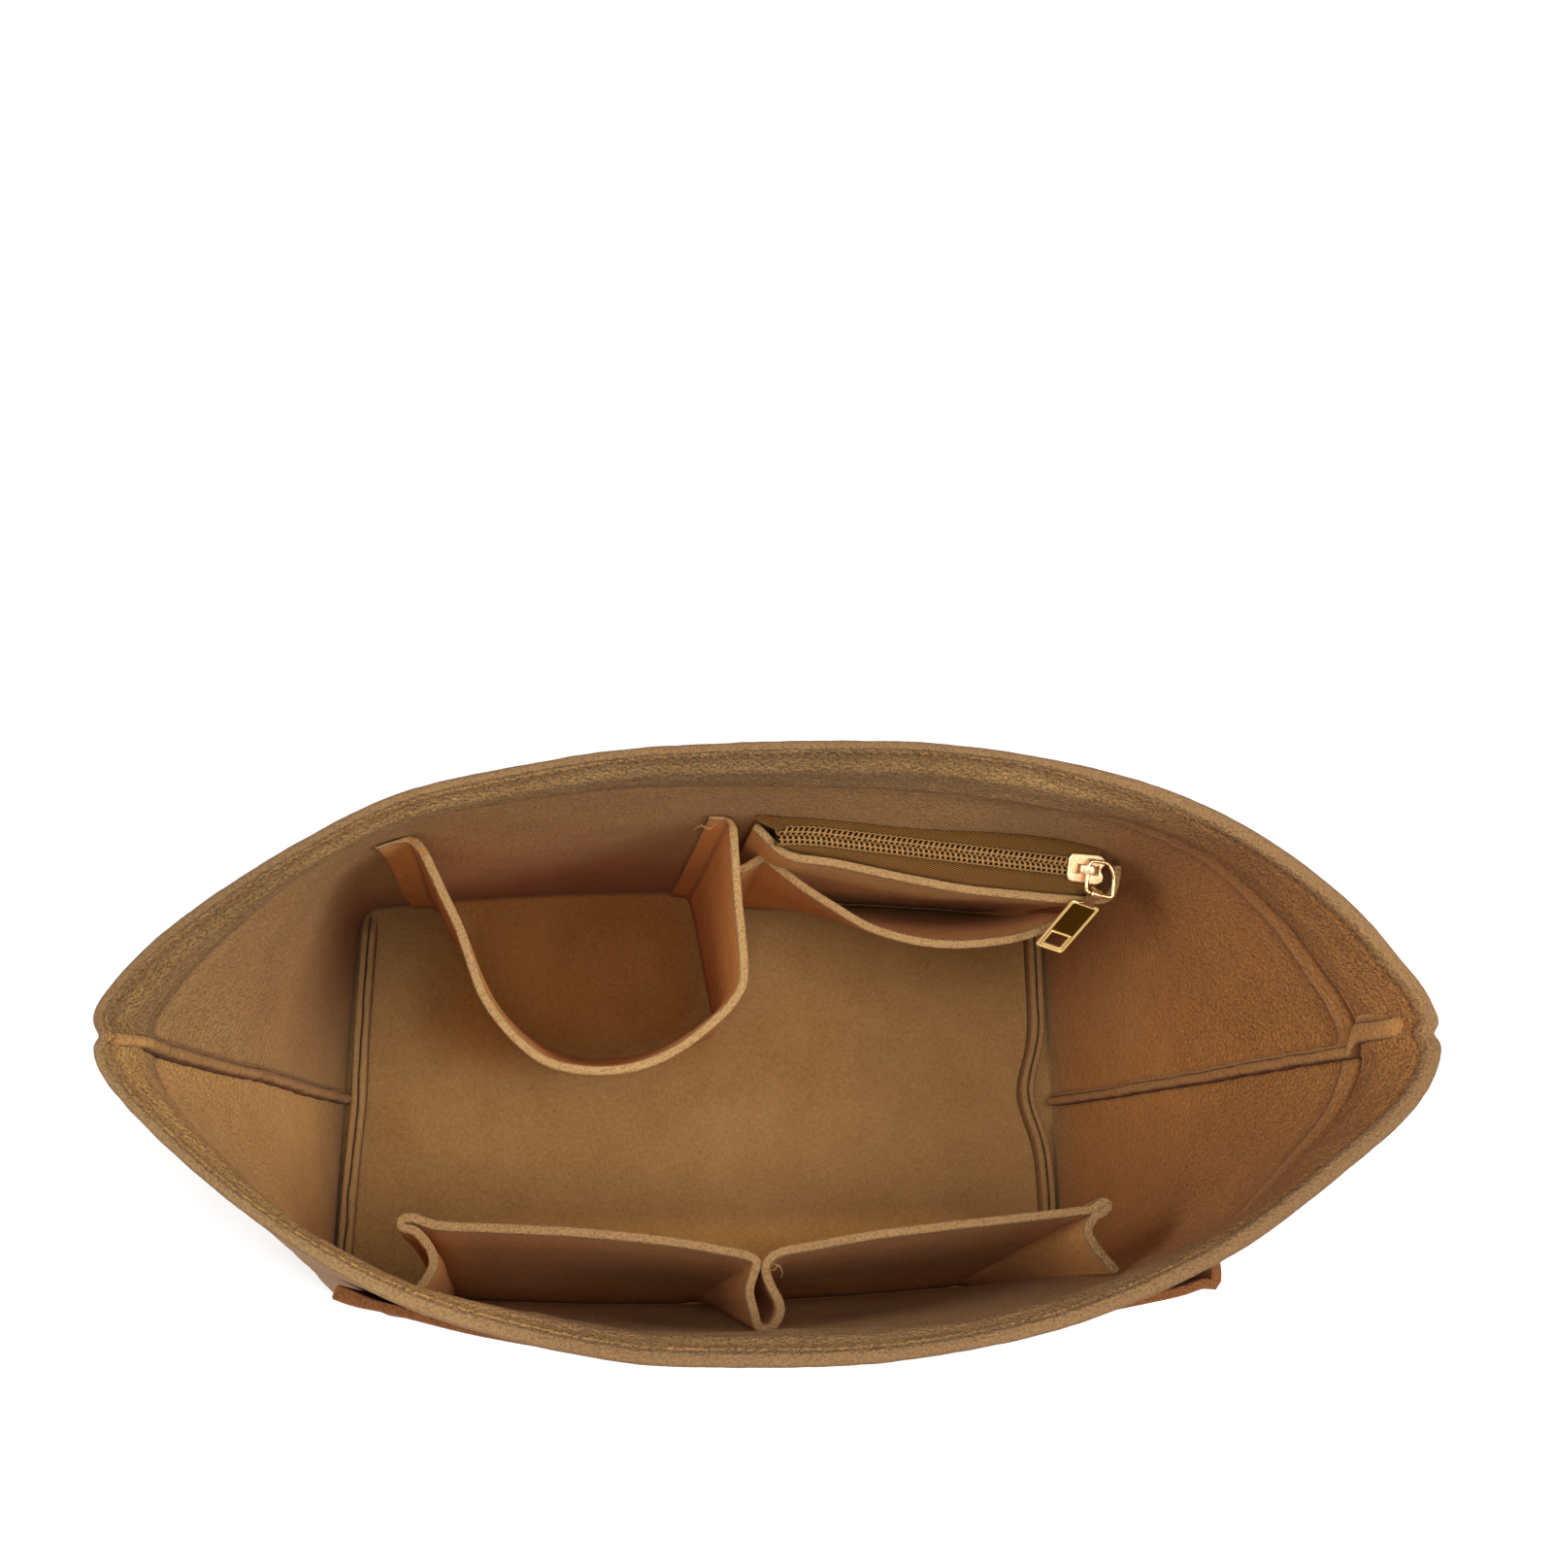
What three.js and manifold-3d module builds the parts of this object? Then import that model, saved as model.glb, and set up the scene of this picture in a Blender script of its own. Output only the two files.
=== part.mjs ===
// Felt organizer insert for a large handbag, opened out and standing on its base.
// Units are millimetres. +X to the right, +Y to the back, +Z up.
// The origin is on the floor, under the middle of the base.
import * as THREE from 'three';
import * as BufferGeometryUtils from 'three/addons/utils/BufferGeometryUtils.js';
import Module from 'manifold-3d';

const wasm = await Module();
wasm.setup();

// ---------------------------------------------------------------- driving sizes
const FELT = 3;            // felt thickness
const HEM_T = 5.6;         // folded rim: two layers pressed together
const HEM_H = 34;          // depth of the folded band inside the rim
const GAP = 0.35;          // clearance between neighbouring pieces
const TIP_H = 244;         // rim height at the two side seams
const MID_H = 250;         // rim height half way along the front and back
const BASE_A = 145;        // base length to the right of the middle
const BASE_L = 149;        // and to the left of it
const BASE_SKEW = 0.045;   // the left end is sewn a little out of square
const BASE_BACK = 88;      // base edge, middle of the back
const BASE_FRONT = 84;     // base edge, middle of the front
const BASE_BOW = 7.5;      // how far the long edges draw in at the ends
const CORNER_R = 12;       // base corner radius
const POCKET_Z = 162;      // top of the tall pockets
const ZIP_Z = 156;         // top edge of the zip pocket's felt front
const SLIP_Z = 132;        // top of the slip pocket
const OUTER_Z = 185;       // top of the pocket outside the front
const SEAM_Y = { left: [0.6, -1.2], right: [-1.5, -2.3] }; // y of each side seam at the base and at the rim
const SLIDER = [113.1, 64.5, 162.0];       // middle of the slider on the chain
const CHAIN_TURN = Math.atan2(-0.1127, 1); // the chain seen from above
const CHAIN_TILT = THREE.MathUtils.degToRad(18);
const COIL_OUT = 3.1;      // half width of the closed chain
const COIL_IN = 0.75;      // half of the channel that the slider's post runs in
const COIL_H = 1.1;        // half height of the chain
const TAPE_T = 0.7;        // zipper tape thickness
const WIRE_R = 0.75;       // link wire radius
const TAB_W = 11, TAB_L = 25, TAB_T = 1.4, NECK_L = 5.5;

// rim seen from above (outer face of the folded edge)
const RIM_BACK = [[-195, SEAM_Y.left[1]], [-196.3, 3.4], [-195.2, 7.9], [-191.6, 13.6], [-184.2, 22.8], [-176.6, 30.2], [-160.4, 42.8], [-142.2, 54.3],
  [-114.3, 67.7], [-75.9, 77.2], [-36.6, 82.5], [3.6, 84.7], [44.8, 84.2], [86.6, 77.9], [118.3, 69], [149.8, 52.4],
  [172.0, 34.9], [184.7, 21.6], [191.4, 13.0], [194.8, 6.5], [196, 1.4], [194.8, SEAM_Y.right[1]]];
const RIM_FRONT = [[-195, SEAM_Y.left[1]], [-195.7, -4.6], [-193.8, -10.4], [-190.2, -15.6], [-174.9, -31.2], [-147.1, -53.8], [-114, -73.3], [-83.6, -82.8],
  [-47.3, -90], [-1, -92], [37, -89.7], [72, -84.1], [98, -75.8], [128.7, -62.3], [162.6, -41.2],
  [181.8, -27.6], [189.2, -20.2], [193.4, -13.9], [195.9, -6.6], [194.8, SEAM_Y.right[1]]];

// ---------------------------------------------------------------- wall surface
const NS = 1200;
function spaced(list, tension) {
  const c = new THREE.CatmullRomCurve3(list.map(p => new THREE.Vector3(p[0], p[1], 0)), false, 'centripetal', tension);
  c.arcLengthDivisions = 2000;
  return c.getSpacedPoints(NS).map(p => [p.x, p.y]);
}
function resample(pts, n) {
  const s = [0];
  for (let i = 1; i < pts.length; i++) s.push(s[i - 1] + Math.hypot(pts[i][0] - pts[i - 1][0], pts[i][1] - pts[i - 1][1]));
  const out = [];
  let k = 0;
  for (let i = 0; i <= n; i++) {
    const d = s[s.length - 1] * i / n;
    while (k < s.length - 2 && s[k + 1] < d) k++;
    const f = Math.min(1, Math.max(0, (d - s[k]) / (s[k + 1] - s[k] || 1)));
    out.push([pts[k][0] + f * (pts[k + 1][0] - pts[k][0]), pts[k][1] + f * (pts[k + 1][1] - pts[k][1])]);
  }
  return out;
}
const edgeY = (side, x) => (side > 0 ? BASE_BACK : BASE_FRONT) - BASE_BOW * (x / BASE_A) ** 2;
function baseLine(side) {
  const pts = [[-BASE_A, SEAM_Y.left[0] * side]];
  const yc = edgeY(side, BASE_A - CORNER_R);
  for (let k = 0; k <= 12; k++) {
    const a = Math.PI / 2 * k / 12;
    pts.push([-BASE_A + CORNER_R * (1 - Math.cos(a)), yc - CORNER_R * (1 - Math.sin(a))]);
  }
  for (let k = 1; k < 30; k++) {
    const x = -(BASE_A - CORNER_R) + 2 * (BASE_A - CORNER_R) * k / 30;
    pts.push([x, edgeY(side, x)]);
  }
  for (let k = 0; k <= 12; k++) {
    const a = Math.PI / 2 * k / 12;
    pts.push([BASE_A - CORNER_R * (1 - Math.sin(a)), yc - CORNER_R * (1 - Math.cos(a))]);
  }
  pts.push([BASE_A, SEAM_Y.right[0] * side]);
  // the left end lies further out than the right one, and a little skewed
  const q = pts.map(p => {
    const k = Math.max(0, -p[0] / BASE_A);
    return [p[0] + k * k * (BASE_A - BASE_L + BASE_SKEW * p[1] * side), p[1] * side];
  });
  return resample(q, NS);
}
const RIM = { 1: spaced(RIM_BACK, 0.5), '-1': spaced(RIM_FRONT, 0.5) };
const BASE = { 1: baseLine(1), '-1': baseLine(-1) };
function at(list, u) {
  const f = Math.min(NS, Math.max(0, u * NS)), i = Math.min(NS - 1, Math.floor(f)), g = f - i;
  return [list[i][0] + g * (list[i + 1][0] - list[i][0]), list[i][1] + g * (list[i + 1][1] - list[i][1])];
}
// the plane where back and front meet at each side seam
const seamY = (left, z) => (left ? SEAM_Y.left[0] + (SEAM_Y.left[1] - SEAM_Y.left[0]) * z / TIP_H : SEAM_Y.right[0] + (SEAM_Y.right[1] - SEAM_Y.right[0]) * z / TIP_H);
const rimZ = (side, u) => TIP_H + (MID_H - TIP_H) * (1 - (at(RIM[side], u)[0] / 196) ** 2);
function outer(side, u, z) {
  const b = at(BASE[side], u), r = at(RIM[side], u), t = z / rimZ(side, u);
  let x = b[0] + (r[0] - b[0]) * t, y = b[1] + (r[1] - b[1]) * t;
  // the stitched-on zip pocket draws the back wall in a little
  if (side > 0) y -= 4.2 * Math.exp(-(((x - 52) / 40) ** 2) - ((z - 152) / 58) ** 2);
  // it stands out a little by the bottle pocket's left side
  if (side > 0) y += 3.6 * Math.exp(-(((x + 124) / 30) ** 2) - ((z - 150) / 60) ** 2);
  // and the outer pocket draws the front wall in
  if (side < 0) y += 1.8 * Math.exp(-(((x + 72) / 48) ** 2) - ((z - 195) / 60) ** 2);
  return [x, y];
}
function inward(side, u, z) {
  const a = outer(side, Math.max(0, u - 0.004), z), b = outer(side, Math.min(1, u + 0.004), z);
  const t = [b[0] - a[0], b[1] - a[1]], l = Math.hypot(...t);
  return side > 0 ? [t[1] / l, -t[0] / l] : [-t[1] / l, t[0] / l];
}
function wallPoint(side, u, z, inset) {
  const o = outer(side, u, z), left = u < 0.5, ys = seamY(left, z) + 0.2 * side;
  if (u < 1e-6 || u > 1 - 1e-6) return [o[0] + (left ? 1 : -1) * inset * 1.05, ys, z];
  const n = inward(side, u, z);
  let y = o[1] + n[1] * inset;
  if ((y - ys) * side < 0) y = ys;
  return [o[0] + n[0] * inset, y, z];
}
// the wall's y at a given x and height, a given distance in from its outer face
function wallY(side, x, z, inset) {
  let a = 0.1, b = 0.9;
  for (let i = 0; i < 50; i++) {
    const m = (a + b) / 2;
    if (wallPoint(side, m, z, inset)[0] < x) a = m; else b = m;
  }
  return wallPoint(side, (a + b) / 2, z, inset)[1];
}
// a point by the inner face of the wall: d is the distance from that face to the point
const byWall = (side, x, z, d) => [x, wallY(side, x, z, FELT + d), z];

// ---------------------------------------------------------------- solids from grids
function geometry(verts, tris) {
  const g = new THREE.BufferGeometry();
  g.setAttribute('position', new THREE.BufferAttribute(new Float32Array(verts.flat()), 3));
  g.setIndex(tris.flat());
  let v = 0;
  for (const [a, b, c] of tris) {
    const A = verts[a], B = verts[b], C = verts[c];
    v += A[0] * (B[1] * C[2] - B[2] * C[1]) + A[1] * (B[2] * C[0] - B[0] * C[2]) + A[2] * (B[0] * C[1] - B[1] * C[0]);
  }
  if (v < 0) g.setIndex(tris.map(t => [t[0], t[2], t[1]]).flat());
  g.computeVertexNormals();
  return g;
}
// a ring of points swept through stations; ends closed by fans round the ring's strip order
function loft(rings, closed = false) {
  const m = rings[0].length, n = rings.length, verts = rings.flat(), tris = [];
  const last = closed ? n : n - 1;
  for (let i = 0; i < last; i++) {
    for (let j = 0; j < m; j++) {
      const k = (j + 1) % m, a = i * m + j, b = i * m + k, c = ((i + 1) % n) * m + j, d = ((i + 1) % n) * m + k;
      tris.push([a, c, b], [b, c, d]);
    }
  }
  if (!closed) {
    for (const [i, flip] of [[0, false], [n - 1, true]]) {
      // zip the two halves of the ring together, as across a thin section
      let lo = 0, hi = m - 1;
      while (hi - lo > 1) {
        const t1 = [i * m + lo, i * m + lo + 1, i * m + hi];
        tris.push(flip ? [t1[0], t1[2], t1[1]] : t1);
        lo++;
        if (hi - lo > 1) {
          const t2 = [i * m + lo, i * m + hi - 1, i * m + hi];
          tris.push(flip ? [t2[0], t2[2], t2[1]] : t2);
          hi--;
        }
      }
    }
  }
  return geometry(verts, tris);
}
// a sheet of even thickness: rows of centre-line points from the bottom to the top
function sheet(rows, th) {
  const left = [], right = [];
  for (const row of rows) {
    const L = [], R = [];
    row.forEach((p, i) => {
      const a = row[Math.max(0, i - 1)], b = row[Math.min(row.length - 1, i + 1)];
      const d1 = [p[0] - a[0], p[1] - a[1]], d2 = [b[0] - p[0], b[1] - p[1]];
      const l1 = Math.hypot(...d1) || 1, l2 = Math.hypot(...d2) || 1;
      let t = [d1[0] / l1 + d2[0] / l2, d1[1] / l1 + d2[1] / l2];
      const l = Math.hypot(...t) || 1;
      t = [t[0] / l, t[1] / l];
      let c = 1;
      if (i > 0 && i < row.length - 1) c = Math.min(1.35, 1 / Math.max(0.5, Math.abs(t[0] * d1[0] / l1 + t[1] * d1[1] / l1)));
      const h = th / 2 * c;
      L.push([p[0] - t[1] * h, p[1] + t[0] * h, p[2]]);
      R.push([p[0] + t[1] * h, p[1] - t[0] * h, p[2]]);
    });
    left.push(L); right.push(R);
  }
  const n = rows[0].length, rings = [];
  for (let i = 0; i < n; i++) rings.push([...left.map(r => r[i]), ...right.map(r => r[i]).reverse()]);
  return loft(rings);
}
const lerp = (a, b, t) => a + (b - a) * t;
// rows between a bottom and a top line of as many points
function ruled(bottom, top, fractions) {
  return fractions.map(f => bottom.map((p, i) => [lerp(p[0], top[i][0], f), lerp(p[1], top[i][1], f), lerp(p[2], top[i][2], f)]));
}
function solid(g) {
  const c = g.clone();
  c.deleteAttribute('normal');
  if (c.getAttribute('uv')) c.deleteAttribute('uv');
  const m = BufferGeometryUtils.mergeVertices(c, 1e-4);
  return new wasm.Manifold(new wasm.Mesh({
    numProp: 3, vertProperties: new Float32Array(m.getAttribute('position').array), triVerts: new Uint32Array(m.getIndex().array)
  }));
}
function fromSolid(s) {
  const m = s.getMesh(), v = [];
  for (let i = 0; i < m.vertProperties.length; i += m.numProp) v.push([m.vertProperties[i], m.vertProperties[i + 1], m.vertProperties[i + 2]]);
  const t = [];
  for (let i = 0; i < m.triVerts.length; i += 3) t.push([m.triVerts[i], m.triVerts[i + 1], m.triVerts[i + 2]]);
  return geometry(v, t);
}
const boxAt = (x0, x1, y0, y1, z0, z1) => {
  const g = new THREE.BoxGeometry(x1 - x0, y1 - y0, z1 - z0);
  g.translate((x0 + x1) / 2, (y0 + y1) / 2, (z0 + z1) / 2);
  return g;
};

// ---------------------------------------------------------------- materials
const felt = (hex) => new THREE.MeshStandardMaterial({ color: hex, roughness: 0.95, metalness: 0 });
const FELT_MAT = felt(0xa9794a), FELT_IN = felt(0x9c6b3c), FELT_OUT = felt(0x9a5a2c);
const TAPE_MAT = new THREE.MeshStandardMaterial({ color: 0x9a8150, roughness: 0.8, metalness: 0 });
const COIL_MAT = new THREE.MeshStandardMaterial({ color: 0xa58a58, roughness: 0.5, metalness: 0 });
const GOLD = new THREE.MeshStandardMaterial({ color: 0xd9a64a, roughness: 0.22, metalness: 1 });

const insert = new THREE.Group();
function add(name, geo, mat, parent = insert) {
  const m = new THREE.Mesh(geo, mat);
  m.name = name;
  parent.add(m);
  return m;
}

// ---------------------------------------------------------------- body: walls and base
function panel(side) {
  const us = [0];
  const N = 52;
  // the second station stands clear of the mitred end
  const first = 0.021;
  for (let i = 0; i <= N; i++) us.push(first + (1 - 2 * first) * i / N);
  us.push(1);
  const z0 = FELT + 0.3;
  return loft(us.map(u => {
    const zr = rimZ(side, u), ring = [];
    for (const z of [z0, 60, 105, 150, 185, zr - HEM_H, zr - 2.4]) ring.push(wallPoint(side, u, z, 0));
    const e = wallPoint(side, u, zr - 2.4, HEM_T / 2);
    ring.push([e[0], e[1], zr]);
    ring.push(wallPoint(side, u, zr - 2.4, HEM_T));
    ring.push(wallPoint(side, u, zr - HEM_H, HEM_T));
    for (const z of [zr - HEM_H - 0.6, 185, 150, 105, 60, z0]) ring.push(wallPoint(side, u, z, FELT));
    return ring;
  }));
}
add('back_panel', panel(1), FELT_MAT);
add('front_panel', panel(-1), FELT_MAT);

const corners = [];
for (let i = 0; i < 60; i++) corners.push(at(BASE[1], i / 60));
for (let i = 60; i > 0; i--) corners.push(at(BASE[-1], i / 60));
const outline = corners.filter((p, i) => {
  const a = corners[(i + 119) % 120], b = corners[(i + 1) % 120];
  return Math.abs((p[0] - a[0]) * (b[1] - p[1]) - (p[1] - a[1]) * (b[0] - p[0])) > 0.02;
});
const baseShape = new THREE.Shape(outline.map(p => new THREE.Vector2(p[0], p[1])));
add('base_panel', new THREE.ExtrudeGeometry(baseShape, { depth: FELT, bevelEnabled: false }), FELT_MAT);

// side seam allowances: two layers side by side, standing in from each seam
function sideSeam(s) {
  const left = s < 0, half = left ? 2.7 : 2.4, shift = left ? 0.5 : -1.4, rings = [];
  for (const [z, hem, wide] of [[14, 0, 7], [50, 0, 7], [100, 0, 7], [150, 0, 7], [197, 0, 7], [204, 1, 4.4], [239, 1, 4.4]]) {
    const inset = hem ? HEM_T : FELT, ys = seamY(left, z), yc = ys + shift;
    // the strip's outer edge stays clear of both inner faces over its whole width
    let x = wallPoint(1, left ? 0 : 1, z, inset)[0];
    for (const side of [1, -1]) {
      const reach = half + 0.3 + shift * side;
      for (let k = 1; k <= 40; k++) {
        const v = k * 0.0015, p = wallPoint(side, left ? v : 1 - v, z, inset);
        if ((p[1] - ys) * side > reach) break;
        if ((p[0] - x) * -s > 0) x = p[0];
      }
    }
    const x0 = x - s * 0.6, x1 = x0 - s * wide;
    rings.push([[x0, yc - half, z], [x1, yc - half, z], [x1, yc - 0.15, z], [x1 + s * 1.2, yc, z], [x1, yc + 0.15, z], [x1, yc + half, z], [x0, yc + half, z]]);
  }
  return loft(rings);
}
add('side_seam_left', sideSeam(-1), FELT_IN);
add('side_seam_right', sideSeam(1), FELT_IN);

// base end seam allowances: two layers standing on the base inside each end wall
function baseSeam(s, dip) {
  const rings = [];
  for (const y of [-64, -48, -30, -16, -7, 0, 7, 16, 30, 48, 66]) {
    const end = s > 0 ? BASE_A : BASE_L - BASE_SKEW * y;
    const x0 = s * (end - FELT - 0.7) - s * dip * Math.exp(-((y / 17) ** 2));
    const z0 = FELT + 0.3, z1 = 11.5;
    rings.push([[x0, y, z0], [x0, y, z1], [x0 - s * 2.6, y, z1], [x0 - s * 2.85, y, z1 - 1.2], [x0 - s * 3.1, y, z1], [x0 - s * 5.8, y, z1 - 0.6], [x0 - s * 5.8, y, z0]]);
  }
  return loft(rings);
}
add('base_seam_left', baseSeam(-1, 0.8), FELT_IN);
add('base_seam_right', baseSeam(1, 6.5), FELT_IN);

// ---------------------------------------------------------------- bottle pocket
{
  const zt = POCKET_Z, zb = FELT + 0.4, d = FELT / 2 + GAP;
  const topXY = [[-103.9, 48.1, 163], [-97.4, 35.3], [-90.9, 22.6], [-81.4, 10.0], [-72.0, 2.7], [-62.6, -1.8],
    [-54.7, -3.1], [-43.7, -1.3], [-31.0, 4.0], [-19.7, 11.5], [-10.9, 19.8], [-6.8, 28.9], [-6.3, 37.0], [-6.9, 48.5], [-7.9, 61.7]];
  const botXY = [[-101.6, 62.0], [-95.6, 49.5], [-88.2, 37.5], [-79.3, 27.4], [-68.5, 20.0], [-56.6, 15.6],
    [-46.8, 14.0], [-34.0, 15.6], [-21.0, 20.6], [-10.6, 26.6], [-3.4, 32.6], [-0.8, 38.6], [-0.6, 44.5], [-2.4, 55.0], [-4.8, 67.0]];
  // [x at the bottom, x at the top, top height, distance in from the wall's face at the bottom and top]
  const left = [[-122, -126.4, 172, d, d], [-117, -119.6, 171, d, d], [-113.2, -114.6, 170, d + 0.4, d + 0.4], [-110, -111.8, 168, 4.6, 4.2]];
  const right = [[-7.0, -8.6, zt, 5.0, 5.0], [-8.6, -10.4, zt, 2.6, 2.6], [-11.8, -13.6, zt, d, d], [-16.5, -18.2, zt, d, d]];
  const rows = [0, 0.18, 0.36, 0.54, 0.72, 0.87, 1].map(f => {
    const edge = ([xb, xt, z1, d0, d1]) => byWall(1, lerp(xb, xt, f), lerp(zb, z1, f), lerp(d0, d1, f));
    const turn = [lerp(-106.2, -108.6, f), lerp(69.2, 57.4, f), lerp(zb, 165.5, f)];
    return [...left.map(edge), turn, ...topXY.map((p, i) => [lerp(botXY[i][0], p[0], f), lerp(botXY[i][1], p[1], f), lerp(zb, p[2] || zt, f)]), ...right.map(edge)];
  });
  add('bottle_pocket', sheet(rows, FELT), FELT_MAT);
}

// ---------------------------------------------------------------- zip pocket
const zipTop = [[13.4, 68.9], [27, 67.0], [51.4, 61.9], [71.9, 58.2], [92.8, 56.1], [107.6, 54.8], [119.6, 54.4]].map(p => [...p, ZIP_Z]);
{
  const zb = 7, d = FELT / 2 + GAP;
  const bx = [11, 26, 50, 71, 91, 105, 117];
  const bot = bx.map(x => byWall(1, x, zb, d));
  add('zip_pocket_front', sheet(ruled(bot, zipTop, [0, 0.5, 1]), FELT), FELT_MAT);
  // the ends of the strip fold back to the wall; they close to nothing at the bottom
  const gusset = (topWall, topFront, botWall, botFront) => sheet(ruled([botWall, botFront], [topWall, topFront], [0, 0.5, 1]), FELT);
  const leftTop = [[-0.6, wallY(1, -0.6, ZIP_Z, FELT) - 2.1, ZIP_Z], [8.9, 70.4, ZIP_Z]];
  const leftBot = [[2.6, wallY(1, 2.6, 60, FELT) - 2.1, 60], [7.2, wallY(1, 7.2, 60, FELT) - 5.4, 60]];
  add('zip_gusset_left', gusset(leftTop[0], leftTop[1], leftBot[0], leftBot[1]), FELT_MAT);
  const rightTop = [[125.2, wallY(1, 125.2, ZIP_Z, FELT) - 2.2, ZIP_Z], [123.4, 55.6, ZIP_Z]];
  const rightBot = [[122.6, wallY(1, 122.6, 40, FELT) - 1.2, 40], [121.6, wallY(1, 121.6, 40, FELT) - 6.6, 40]];
  add('zip_gusset_right', gusset(rightTop[0], rightTop[1], rightBot[0], rightBot[1]), FELT_MAT);
}

// ---------------------------------------------------------------- zipper frame
const zipper = new THREE.Group();
zipper.position.set(...SLIDER);
const e1 = new THREE.Vector3(Math.cos(CHAIN_TURN), Math.sin(CHAIN_TURN), 0);
const e2 = new THREE.Vector3(-Math.sin(CHAIN_TURN) * Math.cos(CHAIN_TILT), Math.cos(CHAIN_TURN) * Math.cos(CHAIN_TILT), Math.sin(CHAIN_TILT));
const e3 = new THREE.Vector3().crossVectors(e1, e2);
zipper.quaternion.setFromRotationMatrix(new THREE.Matrix4().makeBasis(e1, e2, e3));
insert.add(zipper);
zipper.updateMatrixWorld(true);
const toLocal = (p) => zipper.worldToLocal(new THREE.Vector3(...p)).toArray();

// the chain is straight along the slider's travel and droops at its left end
const chainPath = [[5.2, 0, 0], [-30, 0, 0], [-60, 0, 0], [-92, 0, 0], [-98, -0.5, -0.2], [-103, -1.6, -0.7], [-108, -3.2, -1.8]];
function coil(sign) {
  return loft(chainPath.map(p => {
    const a = p[1] + sign * COIL_IN, b = p[1] + sign * COIL_OUT, z = p[2];
    return [[p[0], a, z - COIL_H + 0.5], [p[0], a, z + COIL_H - 0.5], [p[0], a + sign * 0.5, z + COIL_H], [p[0], b - sign * 0.6, z + COIL_H],
      [p[0], b, z + COIL_H - 0.6], [p[0], b, z - COIL_H + 0.6], [p[0], b - sign * 0.6, z - COIL_H], [p[0], a + sign * 0.5, z - COIL_H]];
  }));
}
add('zipper_coil_back', coil(1), COIL_MAT, zipper);
add('zipper_coil_front', coil(-1), COIL_MAT, zipper);
{
  // tapes: from beside the coil out to the wall, and to the back of the felt front
  const xs = [5.2, -6, -20, -36, -52, -68, -84, -92, -98, -103, -108];
  const chainAt = (x) => {
    for (let i = 1; i < chainPath.length; i++) if (x >= chainPath[i][0]) {
      const f = (x - chainPath[i][0]) / (chainPath[i - 1][0] - chainPath[i][0]);
      return [lerp(chainPath[i][1], chainPath[i - 1][1], f), lerp(chainPath[i][2], chainPath[i - 1][2], f)];
    }
    return [chainPath[6][1], chainPath[6][2]];
  };
  const back = xs.map(x => {
    const [cy, cz] = chainAt(x);
    // march out along the tape until it is close to the wall
    let y = cy + COIL_OUT + 0.3;
    for (; y < 16; y += 0.1) {
      const w = zipper.localToWorld(new THREE.Vector3(x, y, cz));
      if (w.y > wallY(1, w.x, w.z, FELT) - 0.75) break;
    }
    const h = TAPE_T / 2, y0 = cy + COIL_OUT + 0.3;
    return [[x, y0, cz - h], [x, y, cz - h], [x, y, cz + h], [x, y0, cz + h]];
  });
  add('zipper_tape_back', loft(back), TAPE_MAT, zipper);
  const front = xs.map(x => {
    const [cy, cz] = chainAt(x);
    const y0 = cy - COIL_OUT - 0.3, h = TAPE_T / 2;
    // the tape runs down behind the felt front's top edge
    let y = y0 - 0.8;
    for (; y > -16; y -= 0.1) {
      const z = cz - (y0 - y) * 0.16;
      const w = zipper.localToWorld(new THREE.Vector3(x, y, z));
      let fy = null;
      for (let i = 1; i < zipTop.length; i++) if (w.x <= zipTop[i][0] || i === zipTop.length - 1) {
        fy = lerp(zipTop[i - 1][1], zipTop[i][1], (w.x - zipTop[i - 1][0]) / (zipTop[i][0] - zipTop[i - 1][0]));
        break;
      }
      if (w.x < zipTop[0][0]) fy = zipTop[0][1] + (zipTop[0][0] - w.x) * 0.55;
      if (w.y < fy + FELT / 2 + 0.6) break;
    }
    const z = cz - (y0 - y) * 0.16;
    return [[x, y0, cz - h], [x, y0, cz + h], [x, y, z + h], [x, y, z - h]];
  });
  add('zipper_tape_front', loft(front), TAPE_MAT, zipper);
}

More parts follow.
